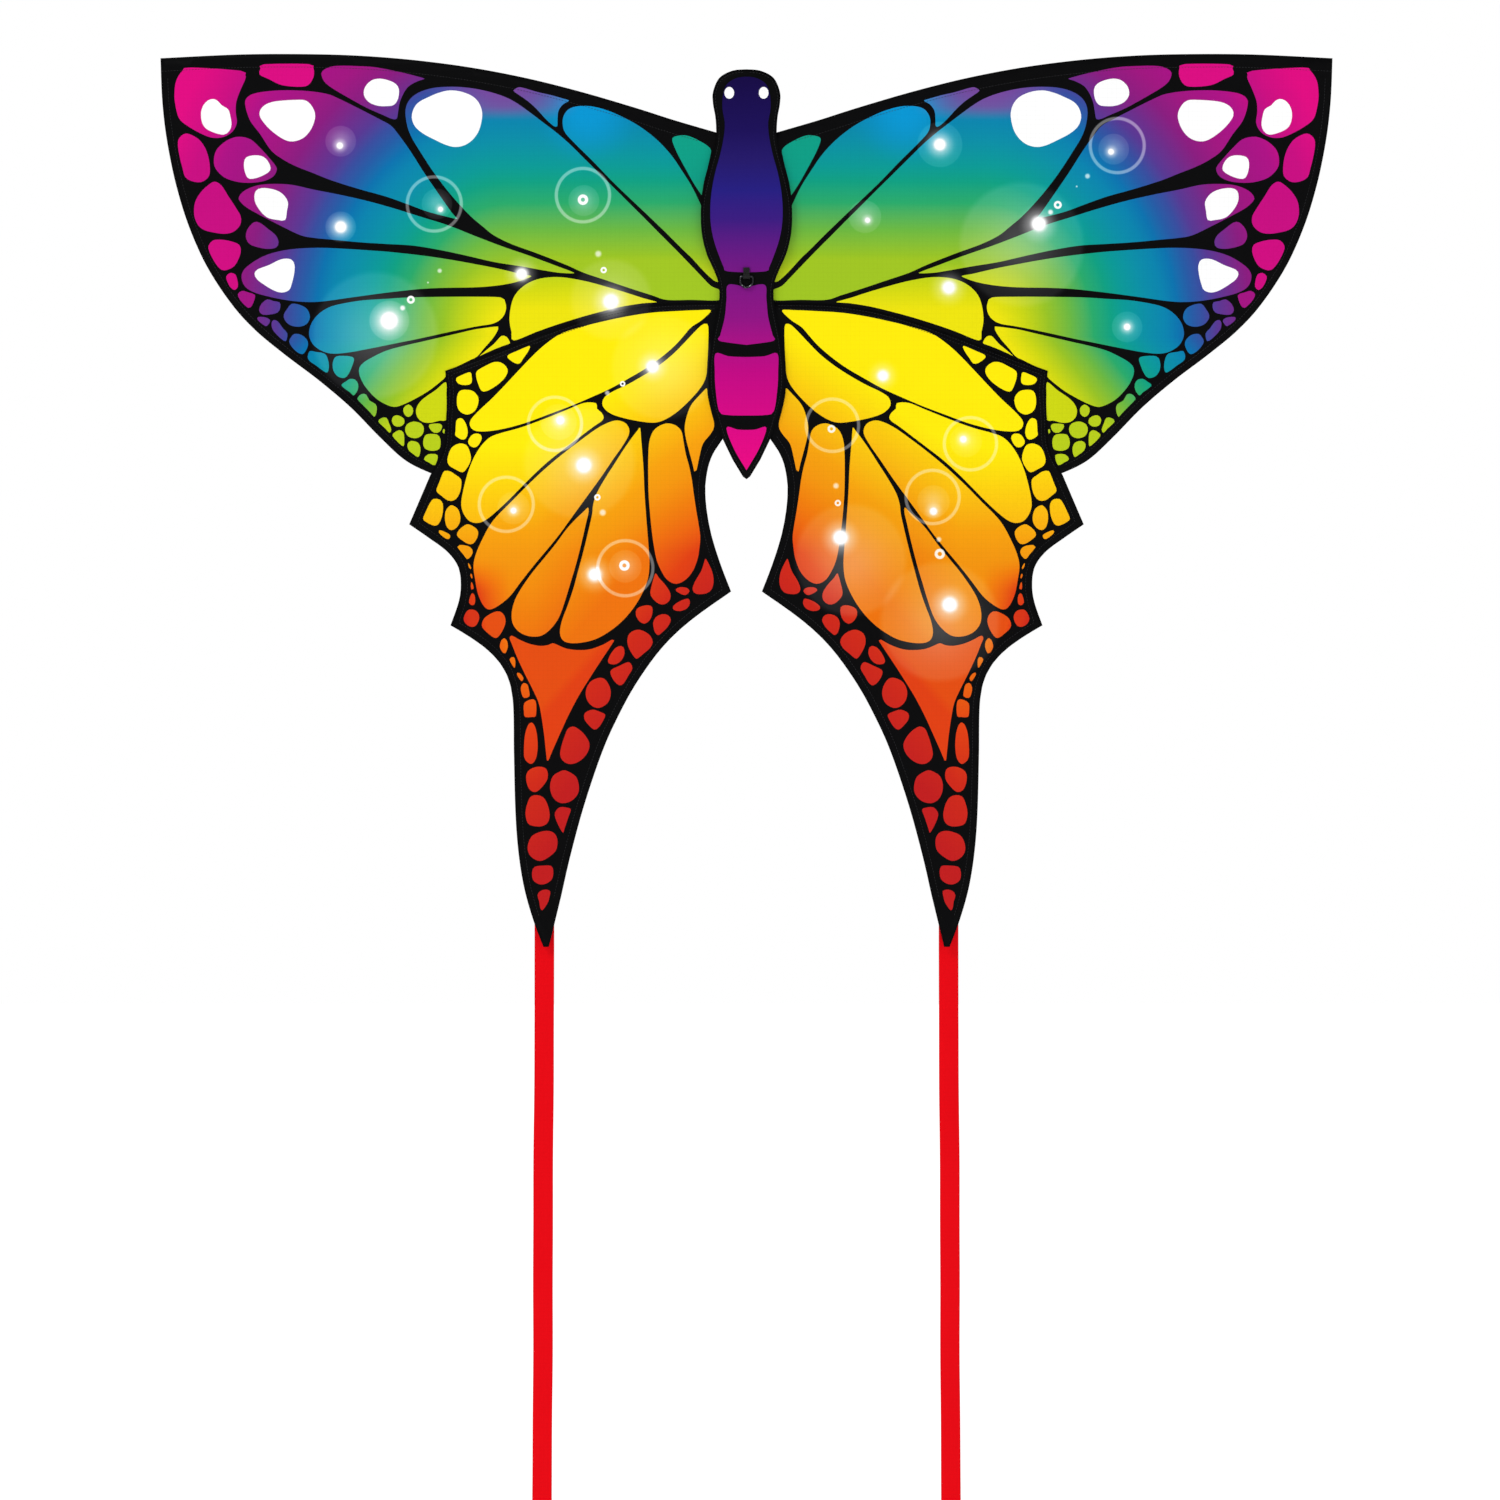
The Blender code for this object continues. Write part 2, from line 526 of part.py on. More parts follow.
def tail(side, name, wing):
    """A ribbon that hangs from the wing's tip, its spare length rolled up at the bottom."""
    middle = side * outward(TAIL_X)
    half = TAIL_W / 2
    sewn_end = [(middle - half, TAIL_SEWN), (middle + half, TAIL_SEWN),
                (middle + half, TAIL_TOP + GAP), (middle - half, TAIL_TOP + GAP)]
    flat_outline(f"{name}_tail_end", [[(x * MM, z * MM) for x, z in sewn_end]], TAIL_T, TAIL_BACK,
                 "red_ribbon", wing)
    pivot = bpy.data.objects.new(f"{name}_tail_pivot", None)
    KITE.objects.link(pivot)
    pivot.parent = wing
    pivot.location = Vector((middle, TAIL_BACK, TAIL_TOP)) * MM
    pivot.rotation_euler = (-math.radians(TAIL_LEAN), 0, 0)
    strip = [(-half, 0), (half, 0), (half, -TAIL_DROP), (-half, -TAIL_DROP)]
    flat_outline(f"{name}_tail_ribbon", [[(x * MM, z * MM) for x, z in strip]], TAIL_T, 0,
                 "red_ribbon", pivot)
    roll_back = TAIL_T / 2 + GAP + ROLL_R
    roll = ring(f"{name}_tail_roll", ROLL_CORE_R, ROLL_R, TAIL_W, "red_ribbon", pivot, sides=40)
    aim(roll, (0, roll_back, -TAIL_DROP), (1, 0, 0))
    strap, wide = 0.8, 4.0
    x_in, y_in = half + GAP, ROLL_R + GAP
    inner = [(-x_in, 0), (x_in, 0), (x_in, y_in), (-x_in, y_in)]
    outer = [(-x_in - strap, -strap), (x_in + strap, -strap), (x_in + strap, y_in + strap),
             (-x_in - strap, y_in + strap)]
    tie = flat_outline(f"{name}_roll_tie", [[(x * MM, y * MM) for x, y in loop] for loop in (outer, inner)],
                       wide, 0, "black_tape", pivot)
    tie.rotation_euler = (0, 0, 0)
    tie.location = Vector((0, roll_back, -TAIL_DROP)) * MM


def wing_on(side, name):
    pivot = bpy.data.objects.new(f"{name}_wing_pivot", None)
    KITE.objects.link(pivot)
    pivot.location = (side * FOLD_X * MM, AXIS_Y * MM, 0)
    pivot.rotation_euler = (0, 0, side * math.radians(DIHEDRAL))
    sails(side, name, pivot)
    hems(side, name, pivot)
    leading_edge(side, name, pivot)
    lower_spar(side, name, pivot)
    tail(side, name, pivot)


clear_scene()
KITE = new_collection("butterfly_kite")
CUTTERS = new_collection("cutters")
spine()
connector("upper_connector", UPPER_HUB_Z, *UPPER_ARM, UPPER_WAY)
connector("lower_connector", LOWER_HUB_Z, *LOWER_ARM, LOWER_WAY)
body()
tow_point()
for side_name, side_sign in SIDES:
    wing_on(side_sign, side_name)
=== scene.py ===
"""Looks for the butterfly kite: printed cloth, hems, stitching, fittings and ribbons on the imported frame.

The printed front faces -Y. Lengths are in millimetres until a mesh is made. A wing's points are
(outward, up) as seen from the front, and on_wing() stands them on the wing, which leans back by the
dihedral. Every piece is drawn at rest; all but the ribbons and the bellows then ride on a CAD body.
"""

import json
import math

import bmesh
import bpy
from mathutils import Matrix, Vector, geometry, kdtree, noise


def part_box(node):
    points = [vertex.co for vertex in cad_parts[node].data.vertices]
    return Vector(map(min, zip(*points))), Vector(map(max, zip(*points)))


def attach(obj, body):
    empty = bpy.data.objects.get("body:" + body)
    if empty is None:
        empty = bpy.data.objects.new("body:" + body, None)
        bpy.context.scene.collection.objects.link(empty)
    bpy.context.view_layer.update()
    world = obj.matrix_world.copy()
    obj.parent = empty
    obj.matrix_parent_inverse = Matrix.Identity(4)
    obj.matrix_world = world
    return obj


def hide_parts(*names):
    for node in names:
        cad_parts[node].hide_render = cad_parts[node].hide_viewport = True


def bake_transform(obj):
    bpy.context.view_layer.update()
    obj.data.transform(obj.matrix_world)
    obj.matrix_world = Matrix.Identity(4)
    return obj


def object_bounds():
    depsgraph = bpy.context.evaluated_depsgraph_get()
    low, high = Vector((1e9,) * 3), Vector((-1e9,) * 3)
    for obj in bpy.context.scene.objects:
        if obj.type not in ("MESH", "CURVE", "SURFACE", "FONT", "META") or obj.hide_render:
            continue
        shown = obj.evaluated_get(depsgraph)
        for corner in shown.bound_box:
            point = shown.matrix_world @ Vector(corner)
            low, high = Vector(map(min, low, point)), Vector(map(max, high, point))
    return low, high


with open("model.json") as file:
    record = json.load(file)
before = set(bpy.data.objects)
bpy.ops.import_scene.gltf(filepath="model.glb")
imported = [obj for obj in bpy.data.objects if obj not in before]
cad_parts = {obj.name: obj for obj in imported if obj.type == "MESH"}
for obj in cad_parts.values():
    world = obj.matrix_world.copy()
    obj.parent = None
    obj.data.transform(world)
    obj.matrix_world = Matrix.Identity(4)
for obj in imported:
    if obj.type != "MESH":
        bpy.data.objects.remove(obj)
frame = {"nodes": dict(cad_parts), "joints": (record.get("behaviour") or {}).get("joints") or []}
CAD_LOW, CAD_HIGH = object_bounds()

MM = 0.001
SIDES = (("left", -1), ("right", 1))


def joint(name):
    return next(j for j in frame["joints"] if j["name"] == name)


def box_mm(node):
    """A CAD node's corners in millimetres."""
    low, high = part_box(node)
    return low / MM, high / MM


# ---- The frame's planes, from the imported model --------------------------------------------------
FOLD_X = joint("right_wing_fold")["pos_m"][0] / MM       # each wing folds back about this line
AXIS_Y = joint("right_wing_fold")["pos_m"][1] / MM
tail_x, tail_y, TAIL_TOP = (v / MM for v in joint("right_tail_swing")["pos_m"])
swing = joint("right_tail_swing")["axis"]
DIHEDRAL = math.atan2(-swing[1], -swing[0])              # how far a wing leans back, in radians
TAIL_OUT = math.hypot(tail_x - FOLD_X, tail_y - AXIS_Y)
TAIL_MIDDLE = (TAIL_OUT * math.cos(DIHEDRAL - math.atan2(tail_y - AXIS_Y, tail_x - FOLD_X)))
TAIL_BACK = 5.2          # the ribbon's middle, behind the spar plane
UPPER_BACK = -4.3        # back faces of the two sails, in front of the spar plane
LOWER_BACK = -5.1
SAIL_T = 0.5
CLOTH_T = 0.36

# ---- Outlines, (outward, up) as seen from the front ---------------------------------------------
LEADING_EDGE = [(33, 164.5), (80, 178.5), (120, 191.5), (180, 209.5), (240, 225), (300, 237),
                (360, 245.5), (420, 251), (480, 253.5), (560, 253.7), (650, 250)]
WING_OUTER_EDGE = [(650, 250), (648, 200), (643, 155), (633.5, 108), (619, 62), (600.5, 21),
                   (574, -20), (546, -51.5), (511, -80.5), (474, -108.5), (440.5, -137),
                   (406, -172), (377, -198), (346, -213)]
SEAM = [(12.3, -24), (60, -24.5), (100, -26), (150, -34), (200, -49), (250, -67), (300, -86),
        (334, -98)]
SEAM_DOWN = [(334, -98), (331, -120), (333, -150), (334, -178), (341, -198), (350, -213)]
SHOULDER = [(350, -213), (374, -268)]
SCALLOP = [(374, -268), (351.5, -283.5), (332, -298), (319.5, -315), (316.5, -335), (319, -354),
           (328, -380)]
TAIL_OUTER = [(328, -380), (303.5, -395), (281.5, -412.5), (266, -434), (258.5, -463), (257, -520),
              (255.5, -580), (252.5, -625), (246, -668), (235.5, -705.5), (224, -736)]
TAIL_INNER = [(218, -736), (205, -682.5), (195, -638.5), (179.5, -581), (159.5, -521.5),
              (142.5, -483), (121.5, -444.5), (93, -405), (61.5, -375), (17, -343)]
NOTCH = [(17, -343), (28.5, -312.5), (38, -282), (43.5, -252), (44.8, -226), (41, -202.5),
         (34.5, -187.5), (26, -175)]
BODY_HALF = [(0, 234), (15.5, 232.5), (30, 224.5), (37, 209), (37, 196), (34.5, 182), (33.5, 168),
             (34, 153), (39, 133), (45, 111), (49.5, 90), (50.5, 70), (49, 50), (44, 30), (36, 12),
             (31, -2), (30, -18), (33, -38), (37, -58), (40, -78), (42, -98), (41.5, -118),
             (38, -136), (33, -153), (27, -173), (15.5, -197), (4, -216), (0, -219)]
LOWER_SPAR_BEND = [(54, -187), (61, -205), (118, -340), (169, -470), (204, -590), (215, -668), (220, -716)]
SPAR_BELOW_EDGE = 8.0

# ---- The print's coloured cells; all that lies between them is black ------------------------------
UPPER_CELLS = {
    "tip": [(617, 240), (560, 236), (555, 231), (555, 226), (560, 215), (565, 202), (566, 190), (565, 178),
            (570, 168), (580, 162), (592, 161), (604, 165), (620, 174), (630, 183), (634, 198), (635, 210),
            (633, 225), (626, 236)],
    "edge_1": [(622, 167), (630, 162), (632, 154), (630, 140), (627, 128), (624, 118), (616, 113),
               (606, 112), (598, 117), (595.5, 125), (597, 140), (602, 153), (610, 162)],
    "edge_2": [(591, 113.5), (583, 109), (575, 97), (567, 85), (561, 74), (562, 64), (570, 56.5),
               (580, 54.5), (592, 56), (603, 59), (610, 65), (614, 76), (613, 90), (607, 101), (599, 109)],
    "fan_end": [(561, 163), (550, 160), (540, 151), (530, 140), (522, 130), (521, 125), (525, 118),
                (535, 113), (550, 111), (565, 112), (580, 117), (590, 127), (592, 137), (589, 148),
                (580, 157), (570, 162)],
    "top_small": [(535, 243), (485, 243), (479, 238), (479, 228), (485, 219), (495, 217), (515, 219),
                  (530, 226), (540, 231), (539, 238)],
    "top_long": [(470, 235), (462, 239.5), (450, 241), (430, 240.5), (410, 239), (385, 234), (365, 229),
                 (355, 225.5), (362, 223), (372, 218), (378, 211), (383, 200), (385, 190), (387, 181),
                 (393, 181), (402, 185), (420, 193), (440, 204), (460, 216), (468, 223), (471, 230)],
    "fan_1": [(555, 205), (545, 211), (520, 214), (490, 213.5), (465, 210), (450, 204), (430, 194),
              (405, 181), (393, 174), (384, 163), (372, 146), (357, 122), (340, 97), (326, 77), (320, 70),
              (335, 73), (355, 78.5), (375, 86), (400, 95), (430, 103.5), (460, 113), (480, 121),
              (500, 129), (515, 137), (528, 147), (540, 165), (551, 180), (556, 196)],
    "fan_2": [(564, 96), (558, 103), (545, 108.5), (528, 110.5), (505, 109.5), (480, 104), (450, 98),
              (420, 91), (390, 82.5), (360, 73), (330, 63.5), (300, 51.5), (270, 40), (240, 29.5),
              (215, 20), (190, 10), (205, 9.5), (225, 12.5), (250, 17), (280, 22), (310, 29),
              (340, 35.5), (370, 40.5), (400, 42.5), (430, 44.5), (460, 47.5), (480, 49.5), (495, 52.5),
              (515, 62), (540, 75), (555, 83.5), (563, 91)],
    "heart": [(378, 188), (376, 198), (370, 206), (360, 212), (345, 216), (325, 217), (305, 215.5),
              (285, 211.5), (268, 206), (255, 199.5), (240, 189), (225, 177.5), (210, 166), (195, 153),
              (180, 138), (165, 123), (150, 108), (135, 93), (120, 78), (105, 63), (90, 48), (75, 33),
              (60, 17.5), (48, 5), (38, -5), (28, -10), (28, -21), (60, -21), (88, -20.8), (105, -15.5),
              (130, -7.5), (155, 1), (180, 9.5), (200, 18.5), (230, 30.5), (260, 41.5), (280, 51.5),
              (292, 61), (304, 71), (316, 83), (330, 99), (342, 114.5), (352, 129), (362, 145),
              (371, 160), (376, 173)],
    "lead_2": [(258, 212), (252, 216), (245, 215), (230, 210.5), (215, 207), (203, 203.5), (195, 200.5),
               (202, 196), (207, 189), (208, 180), (208.5, 172), (213, 172), (222, 180), (232, 191),
               (242, 200), (252, 207)],
    "lead_1": [(203, 172), (203, 181), (199, 189), (192, 193.5), (181, 195), (168, 194), (152, 189.5),
               (135, 182), (118, 172.5), (102, 160.5), (90, 149), (80, 137), (70, 122), (60, 106),
               (52, 90), (48, 80), (44, 60), (38, 30), (29, 2), (33, -1), (40, 4), (50, 14), (60, 25),
               (70, 34.5), (80, 44.5), (90, 54.5), (100, 64), (110, 73.5), (120, 83), (130, 92.5),
               (140, 102), (150, 112), (160, 122.5), (170, 133), (180, 143), (190, 153), (200, 164)],
    "root": [(82, 156), (80, 160), (75, 161.5), (68, 162), (60, 160), (50, 155), (42, 150), (38, 145),
             (39, 138), (42, 125), (46, 110), (48.5, 95), (49.5, 95), (55, 103), (60, 111), (66, 122),
             (72, 133), (78, 145)],
    "fan_3": [(561, 6), (559, 14), (552, 21), (537, 30), (520, 35.5), (500, 38.5), (475, 39.5), (450, 38.5),
              (420, 36.5), (395, 34.5), (360, 30.5), (330, 26), (300, 20.5), (275, 15.5), (252, 10),
              (238, 7), (245, 3), (258, -1), (275, -4), (300, -6), (335, -6.5), (360, -7.5), (385, -10),
              (410, -13), (440, -17), (470, -21), (490, -21.5), (510, -19.5), (530, -15.5), (547, -10.5),
              (557, -4)],
    "fan_4": [(486, -54), (483, -44), (475, -34), (463, -26.5), (448, -22.5), (425, -19), (400, -17.5),
              (375, -16), (340, -15.5), (300, -15.5), (272, -16.5), (267, -22), (266, -29), (268, -36),
              (273, -42), (282, -46.5), (300, -49.5), (330, -55.5), (360, -62), (390, -68), (415, -73),
              (440, -77.5), (458, -79), (470, -76.5), (480, -70), (485, -62)],
    "fan_5": [(275, -48.5), (300, -51.5), (320, -56), (340, -60.5), (360, -65), (380, -69.5), (400, -75),
              (415, -82), (425, -88), (430, -94), (430, -102), (425, -113), (418, -122), (412, -128),
              (405, -133), (395, -137.5), (388, -138), (378, -134.5), (365, -128), (350, -119),
              (335, -107), (333, -103), (333, -99), (325, -95.5), (315, -91), (305, -86), (298, -82.5),
              (290, -73), (283, -65), (278, -58), (275, -52)],
    "fold_1": [(272, -59), (266, -60), (263, -64), (262, -68), (270, -71), (280, -75), (290, -79.5),
               (297, -82.5), (290, -76), (280, -67.5)],
    "under": [(263, -36), (261, -24), (257, -14), (249, -5), (238, 1.5), (225, 5), (210, 6), (195, 4.5),
              (175, 0.5), (155, -5), (135, -11), (115, -17.5), (98, -22.8), (115, -24.5), (135, -27.5),
              (155, -32), (180, -38.5), (205, -46), (230, -54.5), (258, -65), (261, -55), (263, -45)],
    "fold_2": [(333, -110), (345, -119), (357, -127), (364, -134), (367, -142), (365, -150), (359, -155),
               (350, -156), (340, -153.5), (333, -153), (332, -140), (332, -125)],
    "edge_3": [(547, 68), (540, 67.5), (530, 60), (522, 53), (519, 45), (522, 39), (532, 37.5), (545, 40),
               (553, 44), (556.5, 52), (554, 61)],
    "edge_4": [(584, 49), (572, 47), (563, 43), (561, 36), (563, 28), (568, 19), (576, 14.5), (583, 14.5),
               (590, 22), (597, 35), (598, 42), (593, 48)],
    "edge_5": [(573, 12), (567, 10), (564.5, 3), (564, -4), (568, -8), (573, -5), (577, 2), (578, 8)],
    "edge_6": [(560, -8), (552, -10), (545, -13), (547, -22), (550, -27), (553, -28), (558, -24),
               (563, -18), (565, -12)],
    "edge_7": [(532, -17.5), (525, -19.5), (518, -21), (517, -27), (520, -33), (530, -35.5), (538, -35),
               (541.5, -30), (539, -23)],
    "edge_8": [(542, -37), (532, -38), (528, -42), (532, -48), (536, -47), (543, -41)],
    "edge_9": [(525, -40.5), (520, -42), (514, -50), (509, -56), (511, -65), (517, -62), (524, -55),
               (527, -50), (527.5, -44)],
    "edge_10": [(505, -22.5), (495, -24), (487, -29), (484, -38), (488, -46), (497, -49), (507, -47),
                (513, -41), (514, -35), (510, -28)],
    "edge_11": [(502, -56), (494, -57), (488, -62), (486, -68), (489, -76), (493, -79.5), (499, -77),
                (505, -71), (508, -65), (506, -60)],
    "edge_12": [(485, -75), (478, -76), (468, -78), (464, -85), (463, -94), (465, -100), (470, -98),
                (478, -92), (485, -87), (487.5, -82)],
    "edge_13": [(455, -81), (440, -81), (435, -84), (437, -92), (441, -101), (446, -106), (454, -104),
                (459, -97), (459.5, -88)],
    "edge_14": [(440, -106), (434, -107), (430.5, -112), (431, -119), (436, -125.5), (440, -122),
                (447, -117), (450, -113), (445, -109)],
    "edge_15": [(425, -122.5), (421, -124.5), (418, -130), (411, -134.5), (409.5, -140), (411, -147),
                (413, -149.5), (418, -144), (424, -138), (430, -132), (432.5, -129), (430, -124.5)],
    "drop_1": [(375, -134.5), (369.5, -139), (370, -146), (375, -149.5), (380, -146), (381, -139)],
    "drop_2": [(387, -146.5), (380, -150), (379, -156), (384, -160), (391, -159), (394, -153), (392, -148)],
    "drop_3": [(405, -149.5), (399, -149.5), (396, -156), (393.5, -163), (396, -167), (401, -162),
               (409, -154)],
    "drop_5": [(369, -153.5), (360, -156), (357, -162), (359, -169), (366, -173), (375, -171), (379, -164),
               (377, -157)],
    "drop_6": [(385, -163), (380, -166), (379, -175), (380, -182), (386, -178), (393, -170), (391, -166)],
    "drop_7": [(372, -175), (364, -177), (361, -183), (361.5, -190), (364, -194), (369, -191), (375, -186),
               (376.5, -179)],
    "drop_8": [(353, -167.5), (343, -168), (339, -173), (339, -182), (342, -186), (350, -187), (357, -184),
               (359, -177), (357, -170)],
    "drop_9": [(352, -157), (340, -156), (337, -160), (340, -166), (346, -167), (351, -163)],
    "drop_10": [(336, -161.5), (334, -163), (335, -168.5), (337.5, -166)],
    "drop_11": [(353, -190), (342, -191), (345, -203), (352, -200), (358, -196)],
}
WHITE_SPOTS = [
    [(591, 204.5), (586, 202), (582, 197.5), (575, 193), (572.5, 185), (571.5, 176), (574, 169), (580, 165),
     (590, 167), (600, 172), (604.5, 180), (605, 190), (602, 198), (597, 203)],
    [(555, 140), (545, 142), (536, 140), (530, 133), (529, 125), (538, 119), (548, 116), (554, 117),
     (557.5, 125), (558, 134)],
    [(415, 224), (406, 226), (396, 224), (388, 220), (384.5, 214), (385.5, 204), (390, 197), (398, 195.5),
     (408, 196), (418, 200), (423.5, 208), (422, 217)],
    [(525, 201), (500, 203), (488, 202), (481, 195), (478, 185), (482, 172), (490, 162), (500, 157.5),
     (510, 158), (522, 165), (533, 175), (540, 186), (537, 195)],
    [(545, 102), (538, 105.5), (525, 104), (515, 99), (509, 90), (510, 80), (512, 70), (520, 70),
     (532, 73), (541, 82), (546, 92)],
    [(328, 212.5), (315, 211), (303, 206), (296, 199), (292.5, 190), (292.5, 181), (296, 168), (303, 158),
     (312, 152), (322, 150), (332, 152), (345, 158), (358, 165), (367, 173), (370.5, 183), (368, 193),
     (362, 200), (350, 206), (340, 210)],
    [(513, 27), (505, 26), (501.5, 20), (502, 10), (505, -2), (508, -8), (516, -10.5), (525, -8),
     (535, -2), (543, 4), (546, 10), (543, 15), (530, 20), (520, 25)],
]
